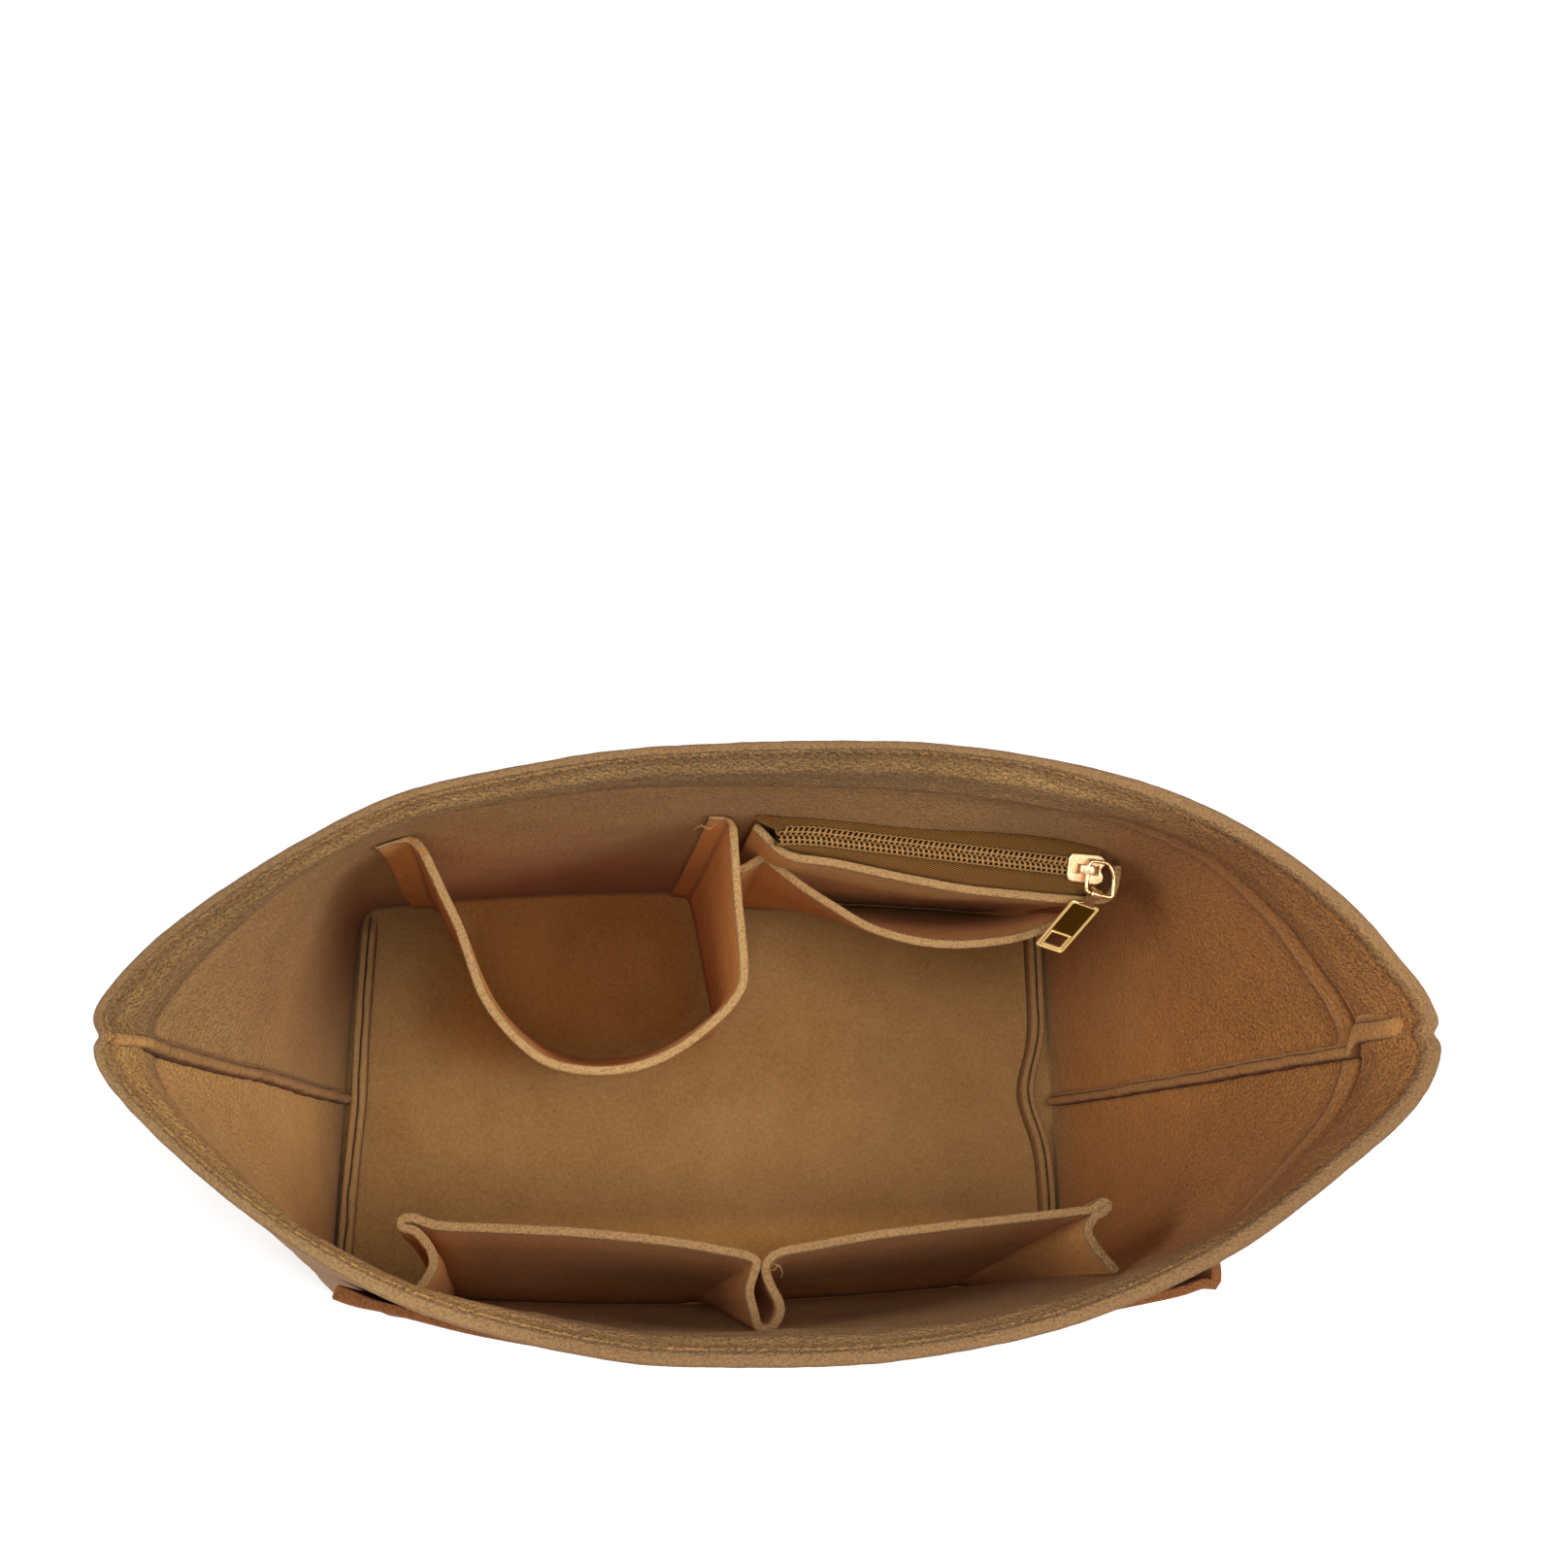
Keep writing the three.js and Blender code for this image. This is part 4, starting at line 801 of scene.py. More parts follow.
def floor():
    n = Nodes("floor")
    g = n.noise(40, 3.0, 0.5)
    n.link(n.ramp(g, [(0.3, (0.90, 0.90, 0.90, 1)), (0.7, (0.93, 0.93, 0.93, 1))]), n.bsdf.inputs["Base Color"])
    n.link(n.range(g, 0.3, 0.7, 0.75, 0.85), n.bsdf.inputs["Roughness"])
    me = bpy.data.meshes.new("floor")
    k, s = 24, 5.0
    xs = np.linspace(-s, s, k + 1)
    v = [(x, y, 0.0) for y in xs for x in xs]
    f = [(j * (k + 1) + i, j * (k + 1) + i + 1, (j + 1) * (k + 1) + i + 1, (j + 1) * (k + 1) + i) for j in range(k) for i in range(k)]
    me.from_pydata(v, [], f)
    me.materials.append(n.mat)
    o = bpy.data.objects.new("floor", me)
    bpy.context.scene.collection.objects.link(o)


floor()


# ------------------------------------------------------------------ body: both walls and the base in one felt sheet
def corner_u(side, left):
    p = BASE[side]
    score = (-p[:, 0] if left else p[:, 0]) + p[:, 1] * side
    half = NS // 2
    idx = np.argmax(score[:half]) if left else half + np.argmax(score[half:])
    return idx / NS


def body():
    NI, NJ = 176, 97
    h = NJ // 2
    st_side, st_u = [], []

    def put(side, us):
        for u in us:
            st_side.append(side); st_u.append(u)
    ubl, ubr = corner_u(1, True), corner_u(1, False)
    ufl, ufr = corner_u(-1, True), corner_u(-1, False)
    g = (np.arange(h + 1) / h) ** 1.35
    put(1, np.linspace(ubl, ubr, NI))                       # back, left to right
    put(1, (1 - (1 - ubr) * g[::-1])[1:])                   # right end, back half down to the seam
    put(-1, (1 - (1 - ufr) * g)[1:])                        # right end, front half
    put(-1, np.linspace(ufr, ufl, NI)[1:])                  # front, right to left
    put(-1, (ufl * g[::-1])[1:])                            # left end, front half down to the seam
    put(1, (ubl * g)[1:-1])                                 # left end, back half
    side, u = np.array(st_side), np.array(st_u)
    S = len(u)
    assert S == 2 * (NI - 1) + 2 * (NJ - 1)
    left = u < 0.5
    L = 452.0
    s = np.where(left, u, 1 - u) * L  # distance from the nearest side seam
    zr = rim_z(side, u) - 1.0 * np.exp(-(s / 1.8) ** 2)
    arc = np.where(side > 0, u * L, 2 * L - u * L)
    # wandering lines: hem edge, groove under the fold
    hemz = HEM_H + 0.9 * n1(arc, 24, 3, 2) + 0.5 * n1(arc, 7, 4)
    grz = 5.4 + 0.55 * n1(arc, 17, 8, 2) + 0.25 * n1(arc, 5, 9)
    grd = 0.85 + 0.35 * n1(arc, 12, 10, 2)
    rim_x = _at(RIM, side, u)[..., 0]
    # the fold's roll: narrow to the left and at the back, rounder to the right and in front
    rr = np.where(side > 0, lerp(1.35, 2.65, smooth(50, 150, rim_x)), lerp(1.35, 2.05, smooth(-170, -100, rim_x)) + 0.6 * smooth(60, 160, rim_x))
    right = smooth(30, 130, rim_x)
    grz = rr + 1.7 + 0.45 * n1(arc, 17, 8, 2) + 0.25 * n1(arc, 5, 9)
    groove_w = np.where(side > 0, 0.8, 0.55) * lerp(0.4, 1.0, smooth(-120, 60, rim_x)) * (0.8 + 0.3 * n1(arc, 4, 12))
    # painted shade on the upward-facing hem and roll of the fold, which light from above makes too bright; strongest
    # towards the left and along the back
    dimv = np.where(side > 0, lerp(0.5, 0.12, smooth(-170, -90, rim_x)), lerp(0.5, 0.12, smooth(-170, -90, rim_x)) + 0.3 * smooth(60, 140, rim_x))
    dimh = np.where(side > 0, lerp(0.85, 0.25, smooth(20, 100, rim_x)) - 0.35 * smooth(-165, -125, rim_x) * smooth(-30, -80, rim_x), lerp(0.75, 0.22, smooth(-150, -90, rim_x)))
    groove_c = groove_w * np.where(side > 0, 1.0, 0.6)
    # how far the hem's lower edge stands off the wall
    hx = np.where(side > 0, np.interp(rim_x, [-190, -80, -42, 11, 43, 91, 113, 135], [0, 0, 0.8, 2.0, 2.0, 2.5, 0.7, 0]),
                  np.interp(rim_x, [-190, -108, -75, -50, 0, 50, 71, 98], [0, 0, 2.0, 1.5, 1.5, 1.2, 0.9, 0]))
    rows, masks = [], {"hem": [], "cut": [], "crease": [], "rim": [], "lite": [], "outside": [], "dim": []}

    def row(inset, z, **kw):
        rows.append(wall_point(side, u, z, inset))
        for key, val in masks.items():
            val.append(np.broadcast_to(kw.get(key, 0.0), (S,)))

    rf = 5.5
    # inner fold at the base, from the base's top upwards
    for a in (0, 22, 45, 68, 90):
        q = math.radians(a)
        row(rf - (rf - FELT) * math.sin(q), rf - (rf - FELT) * math.cos(q))
    # inner face of the wall, coarser towards the hem; to the right the hem's allowance shows as a soft step, with
    # painted shade under it and a painted highlight on it
    zt = zr - hemz
    for f in np.linspace(0, 1, 32)[1:]:
        z = rf + (zt - 13.5 - rf) * f
        row(FELT, z, hem=0.2 + 0.6 * smooth(0.35, 0.75, f), crease=(0.22 * right if f == 1 else 0.0))
    row(FELT + 0.05, zt - 11.6, hem=0.65, crease=0.4 * right)
    row(FELT + 0.55 * right, zt - 11.0 + 0.4 * n1(arc, 6, 15), hem=0.65, lite=0.55 * right)
    row(FELT + 0.62 * right, zt - 10.0, hem=0.65, lite=0.45 * right)
    row(FELT + 0.55 * right, zt - 6.5, hem=0.68, lite=0.1 * right)
    lump = lambda z, amp, k, w=9: amp * noise(np.stack([arc, z + k, side * 40.0], -1), w, 21, 2)
    # the hem's cut edge, stitched down thin, with a painted shadow line under it and a painted highlight along it
    T = 5.9
    row(FELT + 0.45 * right, zt - 3.9, hem=0.7, crease=0.1)
    row(FELT + 0.3 * right, zt - 2.5, hem=0.7, crease=0.5)
    row(FELT - 0.05, zt - 1.3, hem=0.6, crease=0.9)
    row(FELT - 0.1, zt - 0.3, hem=0.6, crease=1.0)
    row(FELT + 0.35 + 0.3 * hx, zt + 0.1, cut=0.4, crease=0.5 + 0.5 * right, lite=0.5)
    row(FELT + 0.9 + 0.75 * hx, zt + 0.2, hem=0.6, crease=0.7 * right, lite=1.0 - 0.6 * right)
    row(FELT + 1.3 + 0.95 * hx + lump(zt, 0.25, 0, 4), zt + 0.7, hem=1, lite=1.0 - 0.7 * right, rim=0.2)
    row(FELT + 1.5 + hx + lump(zt, 0.3, 0, 4), zt + 1.7, hem=1, lite=0.6 - 0.45 * right, rim=0.2, dim=0.5 * dimh)
    row(FELT + 1.45 + hx, zt + 2.6, hem=1, crease=0.35 - 0.25 * right, rim=0.2, dim=0.6 * dimh)
    row(FELT + 1.75 + hx, zt + 3.4, hem=1, crease=0.1, rim=0.2, dim=0.6 * dimh)
    # painted shade along the hem band, more at the back
    roll_band_shade = np.where(side > 0, 0.2, 0.1)
    span0, span1 = zt + 4.6, zr - grz - 2.6
    TR = np.minimum(T, 2 * rr + 1.1)
    for f in np.linspace(0, 1, 18):
        z = span0 + (span1 - span0) * f
        body_t = lerp(lerp(FELT + 1.9 + hx, T + 0.4 * hx, smooth(0, 0.34, f)), TR, smooth(0.7, 1.0, f)) + 0.25 * np.sin(math.pi * f)
        row(body_t + lump(z, 0.34, 0) + lump(z, 0.14, 5, 3.6), z, hem=1, rim=roll_band_shade, dim=dimh * (0.55 + 0.45 * smooth(0.4, 0.9, f)))
    # painted shade in the groove under the fold
    row(TR - 0.15 - 0.12 * grd * groove_w, zr - grz - 1.6, hem=1, crease=0.12 * groove_w, rim=roll_band_shade, dim=dimh)
    row(TR - 0.2 - 0.4 * grd * groove_w, zr - grz - 0.85, hem=1, crease=0.4 * groove_c, rim=roll_band_shade, dim=dimh)
    row(TR - 0.35 - 0.8 * grd * groove_w, zr - grz - 0.1, hem=1, crease=0.8 * groove_c, rim=roll_band_shade, dim=dimh)
    groove_row = len(rows) - 1
    row(TR - 0.3 - 0.45 * grd * groove_w, zr - grz + 0.5, hem=1, crease=0.5 * groove_c, rim=roll_band_shade, dim=dimh)
    row(np.minimum(TR, 2 * rr) + 0.02, zr - grz + 1.15, hem=0.8, cut=0.4, crease=0.15, rim=0.4, dim=0.8 * dimv)
    for a in (0, 20, 40, 60, 78, 90, 102, 120, 140, 160, 180):
        q = math.radians(a)
        w = 0.12 * noise(np.stack([arc, side * 30.0 + a * 0.05, side * 0.0], -1), 14, 31, 2) + 0.15 * noise(np.stack([arc, side * 30.0 + a * 0.06, side * 0.0], -1), 3.8, 33, 2)
        row(rr + rr * math.cos(q) + w * math.cos(q), zr - rr + (rr + w) * math.sin(q), hem=0.6 * (a < 50) + 0.2, cut=0.5 + 0.5 * math.sin(q), rim=0.75 - 0.35 * right,
            dim=dimv * (1.0 if a > 30 else 0.8), outside=0.0 if a < 130 else 0.4)
    # outer face, down again; the two sheets turn in at each side seam
    dip = lambda z: (0.5 + 1.9 * smooth(244, 180, z)) * np.exp(-(s / 1.7) ** 2)
    for f in np.linspace(0, 1, 30)[1:]:
        z = (zr - rr) + (rf - (zr - rr)) * f
        row(dip(z), z, outside=1.0)
    for a in (68, 45, 22, 0):
        q = math.radians(a)
        row(rf - rf * math.sin(q) + dip(0) * (a > 20), rf - rf * math.cos(q), outside=1.0)
    V = np.stack(rows, 0)                                   # (rows, S, 3)
    nr = V.shape[0]
    # base: a grid between the four sides, top and underside
    def grid_edge(r):
        P = V[r]
        back = P[0:NI]
        right = P[NI - 1:NI + NJ - 1]
        front = P[NI + NJ - 2:2 * NI + NJ - 2][::-1]
        lf = np.concatenate([P[2 * NI + NJ - 3:], P[:1]])[::-1]
        return back, right, front, lf

    def coons(r):
        b, rt, f, lf = grid_edge(r)
        i = np.linspace(0, 1, NI)[:, None, None]
        j = np.linspace(0, 1, NJ)[None, :, None]
        gx = ((1 - j) * b[:, None] + j * f[:, None] + (1 - i) * lf[None] + i * rt[None]
              - (1 - i) * (1 - j) * b[0] - i * (1 - j) * b[-1] - (1 - i) * j * f[0] - i * j * f[-1])
        return gx
    top, bot = coons(0), coons(nr - 1)
    inner = lambda a: np.sin(np.linspace(0, math.pi, a.shape[0]))[:, None] ** 0.5 * np.sin(np.linspace(0, math.pi, a.shape[1]))[None] ** 0.5
    top[..., 2] += 0.45 * noise(top, 38, 41, 3) * inner(top) + 0.12 * noise(top, 8, 42, 2) * inner(top)
    verts = [V.reshape(-1, 3)]
    ids = {}
    n = nr * S

    def ring_ids(r):
        G = np.zeros((NI, NJ), int)
        k = r * S + np.arange(S)
        G[:, 0] = k[0:NI]
        G[NI - 1, :] = k[NI - 1:NI + NJ - 1]
        G[:, NJ - 1] = k[NI + NJ - 2:2 * NI + NJ - 2][::-1]
        G[0, 1:NJ - 1] = k[2 * NI + NJ - 3:][1:][::-1] if len(k[2 * NI + NJ - 3:]) == NJ - 1 else k[-(NJ - 2):][::-1]
        return G
    faces = []
    i, j = np.meshgrid(np.arange(nr - 1), np.arange(S), indexing="ij")
    jj = (j + 1) % S
    faces.append(np.stack([i * S + j, i * S + jj, (i + 1) * S + jj, (i + 1) * S + j], -1).reshape(-1, 4))
    for r, grid, flip in ((0, top, True), (nr - 1, bot, False)):
        G = ring_ids(r)
        G[1:-1, 1:-1] = n + np.arange((NI - 2) * (NJ - 2)).reshape(NI - 2, NJ - 2)
        verts.append(grid[1:-1, 1:-1].reshape(-1, 3))
        n += (NI - 2) * (NJ - 2)
        q = np.stack([G[:-1, :-1], G[1:, :-1], G[1:, 1:], G[:-1, 1:]], -1).reshape(-1, 4)
        faces.append(q[:, ::-1] if flip else q)
    verts = warp(np.concatenate(verts))
    extra = 2 * (NI - 2) * (NJ - 2)
    attrs = {key: np.concatenate([np.stack(val).ravel(), np.zeros(extra)]) for key, val in masks.items()}
    o = make_mesh("felt_body", verts, faces, FELT_IN, attrs=attrs, sharp=55)
    g = slice(groove_row * S, groove_row * S + S)
    return o, verts[g], inward(side, u, np.full(S, 245.0))


felt_body, groove, groove_in = body()
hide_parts("back_panel", "front_panel", "base_panel")


# ------------------------------------------------------------------ seam allowances inside
def side_seam(left):
    """Two layers of allowance, folded over and pressed against the wall, with their cut edges stepped."""
    s = -1 if left else 1
    zmax = 242.0 if left else 239.0
    zs = np.concatenate([np.linspace(11, 206, 90), np.linspace(208, zmax, 26)])
    rings, cut, crease = [], [], []
    for z in zs:
        k = float(smooth(209, 214, z))
        end = float(smooth(zmax - 9, zmax - 0.5, z)) * (0.75 if left else 1.0)
        inset = lerp(FELT, 5.9, k) - (2.9 if left else 1.2) * float(smooth(224, 237, z))
        ys = float(seam_y(left, z))
        half, shift = (2.75, 0.5) if left else (lerp(2.5, 4.6, k), lerp(-1.4, 4.6, k))
        yc = ys + shift
        us = 0.0 if left else 1.0
        x = wall_point(1, us, z, inset)[0]
        near = {}
        for sd in (1, -1):
            v = np.arange(1, 40) * 0.0015
            p = wall_point(sd, v if left else 1 - v, z, inset)
            m = (p[:, 1] - ys) * sd <= half + 0.3 + shift * sd
            near[sd] = p
            q = p[m][:, 0] * -s
            if len(q):
                x = max(x * -s, q.max()) * -s
        wob = 0.45 * float(n1(z, 17, 61 + s, 2)) + 0.2 * float(n1(z, 5, 63 + s))
        wob2 = 0.5 * float(n1(z, 13, 65 + s, 2))
        top = lerp(4.1 if left else 4.6, 2.7 if left else 2.3, k) + 0.35 * float(n1(z, 22, 67 + s, 2)) + 0.2 * float(n1(z, 6, 69 + s, 2)) - 3.4 * end
        at = lambda y: float(np.interp(y, np.concatenate([near[-1][::-1, 1], near[1][:, 1]]), np.concatenate([near[-1][::-1, 0], near[1][:, 0]])))
        a, b = yc - half + wob * 0.5 + 0.3 * float(n1(z, 3.4, 64 + s)), yc + half + wob2 * 0.6
        st = lerp(a, b, 0.66) + wob2 * 0.4
        pts = [(a + 0.1, -1.6), (a - 0.1, 0.6), (a + 0.1, top - 1.0), (a + 0.5, top - 0.35), (a + 1.2, top), (lerp(a, st, 0.6), top + 0.15), (st - 0.5, top - 0.1),
               (st, top - 0.5), (st + 0.1, top - 1.5), (st + 0.5, top - 2.05), (b - 0.7, top - 2.2), (b - 0.15, top - 2.6), (b, top - 3.4), (b - 0.1, -1.6)]
        rings.append([(lerp(x, at(y), 0.75 * k) - s * d, y, z) for y, d in pts])
        # painted highlight on the layers' cut edges and painted shade in the creases between and under them
        cut.append([c * (1 - end) for c in (0, 0, 0.2, 0.6, 0.5, 0.2, 0.6, 1, 0.9, 0.4, 0.8, 1, 0.4, 0)])
        crease.append([1, 1, 0.7, 0.2, 0, 0, 0.1, 0.5, 1.0, 0.4, 0, 0, 0.6 + 0.4 * k, 1])
    V = warp(np.array(rings))
    v, f = V.reshape(-1, 3), loft_faces(len(zs), V.shape[1])
    o = make_mesh("seam_strip_" + ("left" if left else "right"), v, f, FELT_IN, attrs={"cut": np.array(cut).ravel() * 0.5, "lite": np.array(cut).ravel() * (0.2 if left else 0.5), "crease": np.array(crease).ravel(), "hem": np.full(len(v), 0.4)}, sharp=50)
    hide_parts("side_seam_" + ("left" if left else "right"))
    return o


seam_left, seam_right = side_seam(True), side_seam(False)


def base_seam(left):
    """The boxed end's allowance: two layers standing on the base, leaning in, with a slit between them."""
    s = -1 if left else 1
    ys = np.linspace(-71 if left else -70, 76, 120)
    rings, cut, crease = [], [], []
    dip = 0.8 if left else 6.5
    for y in ys:
        end = BASE_A if s > 0 else BASE_L - BASE_SKEW * y
        x0 = s * (end - FELT - 0.7) - s * dip * math.exp(-(y / 17) ** 2)
        fade = float(smooth(-71, -60, y) * smooth(76, 66, y))
        ht = 2.5 + 6.6 * fade + 0.6 * float(n1(y, 19, 71 + s, 2))
        w1 = 0.35 * float(n1(y, 11, 73 + s, 2))
        lean = 0.7 * float(n1(y, 33, 75 + s)) + 0.8
        t = 2.9
        z0 = 1.4
        P = [(0.2, 0), (0.0, ht * 0.5), (0.1 + lean * 0.2, ht - 0.9), (0.5 + lean * 0.3, ht - 0.2), (1.5 + lean * 0.3, ht), (t - 0.45 + lean * 0.3 + w1, ht - 0.35), (t - 0.1 + lean * 0.25 + w1, ht - 1.9),
             (t + 0.35 + lean * 0.3 + w1, ht - 0.6 - w1), (t + 1.5 + lean * 0.3, ht - 0.3 - w1), (2 * t - 0.5 + lean * 0.3, ht - 0.75 - w1), (2 * t + lean * 0.25, ht - 1.7), (2 * t + 0.15, ht * 0.4), (2 * t + 0.5, 0)]
        rings.append([(x0 - s * d, y, z0 + h) for d, h in P])
        # painted highlight on the ridge's top edges and painted shade at its foot and in the slit between its layers
        cut.append([0, 0, 0.2, 0.7, 1, 0.8, 0.1, 0.8, 1, 0.7, 0.2, 0, 0])
        crease.append([1, 0.8, 0.3, 0, 0, 0.25, 1, 0.25, 0, 0, 0.25, 0.5, 1])
    V = warp(np.array(rings))
    v, f = V.reshape(-1, 3), loft_faces(len(ys), V.shape[1])
    o = make_mesh("base_ridge_" + ("left" if left else "right"), v, f, FELT_IN, attrs={"cut": np.array(cut).ravel() * 0.5, "lite": np.array(cut).ravel() * 0.35, "crease": np.array(crease).ravel(), "hem": np.full(len(v), 0.3)}, sharp=50)
    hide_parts("base_seam_" + ("left" if left else "right"))
    return o


ridge_left, ridge_right = base_seam(True), base_seam(False)


# ------------------------------------------------------------------ pockets
def felt_piece(name, G, nodes, slot="felt", mat=None, folds=(), **kw):
    v, f, m = thick(G, **kw)
    nj, ring = len(G), 2 * len(G) + 7
    # painted shade along the sheet's lower rows, where it meets the base, and along its folds
    low = np.zeros((len(v) // ring, ring))
    for j, c in ((0, 1.0), (1, 0.45), (2, 0.1)):
        low[:, j] = low[:, ring - 1 - j] = c
    if folds:
        ni = len(low) - 6
        for i, c in folds:
            k = 3 + int(round(i * (ni - 1)))
            for d, e in ((0, 1.0), (1, 0.35)):
                for q in {max(3, k - d), min(ni + 2, k + d)}:
                    low[q] = np.maximum(low[q], c * e)
    o = make_mesh(name, v, f, mat or FELT_IN, slot=slot, attrs={"cut": np.where(low.ravel() > 0.4, 0, m), "hem": np.full(len(v), 0.35), "crease": low.ravel()}, sharp=50)
    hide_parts(*nodes)
    return o


def bottle():
    zt, zb, d = POCKET_Z, FELT + 0.4, FELT / 2 + GAP
    top = np.array([[-112.2, 68.0, 169], [-108.4, 61.0, 167], [-104.7, 53.3, 165], [-100.0, 43.7, 163.6], [-95.7, 31.7, zt], [-92.1, 22.1, zt], [-86.4, 13.2, zt], [-78.6, 4.8, zt],
                    [-71.2, -0.4, zt], [-62.0, -3.0, zt], [-50.5, -3.6, zt], [-39.1, -1.6, zt], [-27.4, 3.7, zt], [-17.6, 11.1, zt], [-10.3, 18.1, zt], [-6.6, 24.3, zt],
                    [-6.0, 29.1, zt], [-7.4, 50.6, zt], [-8.5, 70.0, zt]])
    top = unwarp(top)
    low = np.array([[-106.2, 69.2], [-101.6, 62.0], [-95.6, 49.5], [-88.2, 37.5], [-79.3, 27.4], [-68.5, 20.0], [-56.6, 15.6], [-46.8, 14.0], [-34.0, 15.2], [-21.0, 18.0],
                    [-8.0, 22.3], [0.6, 27.3], [2.2, 33.6], [1.0, 40.0], [-1.2, 52.0], [-3.6, 66.0], [-5.2, 75.0]])
    grow = lambda p: np.concatenate([[0], np.cumsum(np.linalg.norm(np.diff(p[:, :2], axis=0), axis=1))])
    st, sl = grow(top), grow(low)
    bot = np.stack([np.interp(st / st[-1] * sl[-1], sl, low[:, c]) for c in (0, 1)], -1)
    left = [[-122, -126.4, 172, 1.0, 1.0], [-117, -120.4, 171.4, 1.1, 1.1], [-113.2, -116.6, 170.8, 1.6, 1.4], [-110, -114.4, 170.2, 3.6, 2.6]]
    right = [[-7.4, -9.3, zt, 3.4, 3.2], [-9.0, -10.9, zt, 1.7, 1.6], [-12.2, -13.4, zt, 1.2, 1.1], [-16.0, -17.0, zt, 1.0, 1.0]]
    fs = np.concatenate([np.linspace(0, 0.94, 30), [0.965, 0.985, 1.0]])

    def edge(e):
        x, z, k = lerp(e[0], e[1], fs), lerp(zb, e[2], fs), lerp(e[3], e[4], fs)
        return np.stack([x, wall_y(1, x, z, FELT + k), z], -1)

    def line(b, p):
        return np.stack([lerp(b[0], p[0], fs), lerp(b[1], p[1], fs), lerp(zb, p[2] if len(p) > 2 else zt, fs)], -1)

    rows = np.stack([edge(e) for e in left] + [line(q, p) for p, q in zip(top, bot)] + [edge(e) for e in right], 1)
    G = spline_rows(rows, step=1.5)
    s = grow(G[-1])
    # the sewn flanges are pressed thin
    return G, np.clip(np.minimum(lerp(1.1, FELT, smooth(6.5, 13.5, s)), lerp(1.1, FELT, smooth(5, 11, s[-1] - s))), 1.1, FELT), s


G, TH, S_TOP = bottle()
bottle_pocket = felt_piece("felt_bottle_pocket", G, ["bottle_pocket"], rough=0.3, seed=3, th=np.broadcast_to(TH, G.shape[:2]),
                           folds=[(float(np.searchsorted(S_TOP, a)) / (len(S_TOP) - 1), c) for a, c in ((11.0, 0.7), (16.0, 0.5), (S_TOP[-1] - 8.5, 0.6))])

ZIP_TOP = [[13.4, 68.9], [27, 67.0], [51.4, 61.9], [71.9, 58.2], [92.8, 56.1], [107.6, 54.8], [119.6, 54.4]]


def zip_pocket():
    d = FELT / 2 + GAP
    bx = [11, 26, 50, 71, 91, 105, 117]
    zb = 7
    top = [[-0.6, float(wall_y(1, -0.6, ZIP_Z, FELT)) - 2.1], [4.6, 74.6], [8.9, 70.8]] + ZIP_TOP + [[124.0, 55.9], [126.4, 61.0], [127.4, float(wall_y(1, 127.4, ZIP_Z, FELT)) - 2.2]]
    low = [[2.6, float(wall_y(1, 2.6, 60, FELT)) - 2.1, 60], [4.9, float(wall_y(1, 4.9, 50, FELT)) - 3.6, 50], [7.2, float(wall_y(1, 7.2, 30, FELT)) - 3.4, 30]]
    low += [by_wall(1, x, zb, d) for x in bx]
    low += [[121.6, float(wall_y(1, 121.6, 26, FELT)) - 3.6, 26], [122.2, float(wall_y(1, 122.2, 36, FELT)) - 2.6, 36], [122.6, float(wall_y(1, 122.6, 44, FELT)) - 1.6, 44]]
    fs = np.concatenate([np.linspace(0, 0.93, 26), [0.96, 0.985, 1.0]])
    rows = [[[lerp(b[0], t[0], f), lerp(b[1], t[1], f), lerp(b[2], ZIP_Z, f)] for b, t in zip(low, top)] for f in fs]
    return spline_rows(rows, step=1.5)


zip_pocket_felt = felt_piece("felt_zip_pocket", zip_pocket(), ["zip_pocket_front", "zip_gusset_left", "zip_gusset_right"], rough=0.2, seed=4)


def slip_pocket():
    zb, zt = 7.5, SLIP_Z
    top = [[-3.1, 68.8], [1.8, 71.6], [5.6, 73.7], [7.2, 73.1], [8.7, 71.6], [13.6, 67.7], [20.3, 62.6], [30.0, 56.3], [41.8, 49.2], [54.6, 45.0], [68.4, 42.9], [83.1, 43.0], [97.1, 45.2], [105.3, 47.8], [114.6, 52.4]]
    bx = [10.5, 11.5, 15, 21, 31, 43, 55, 67, 83, 96, 104, 113.5]
    low = [[1.2, 73.0, 60], [4.0, 73.8, 50], [7.2, 75.4, 30]] + [by_wall(1, x, zb, FELT * 1.5 + 2 * GAP + 0.5) for x in bx]
    fs = np.concatenate([np.linspace(0, 0.93, 24), [0.96, 0.985, 1.0]])
    rows = [[[lerp(b[0], t[0], f), lerp(b[1], t[1], f), lerp(b[2], zt, f)] for b, t in zip(low, top)] for f in fs]
    return spline_rows(rows, step=1.5)


slip_pocket_felt = felt_piece("felt_slip_pocket", slip_pocket(), ["slip_pocket_front", "slip_pocket_flange"], rough=0.3, seed=5)


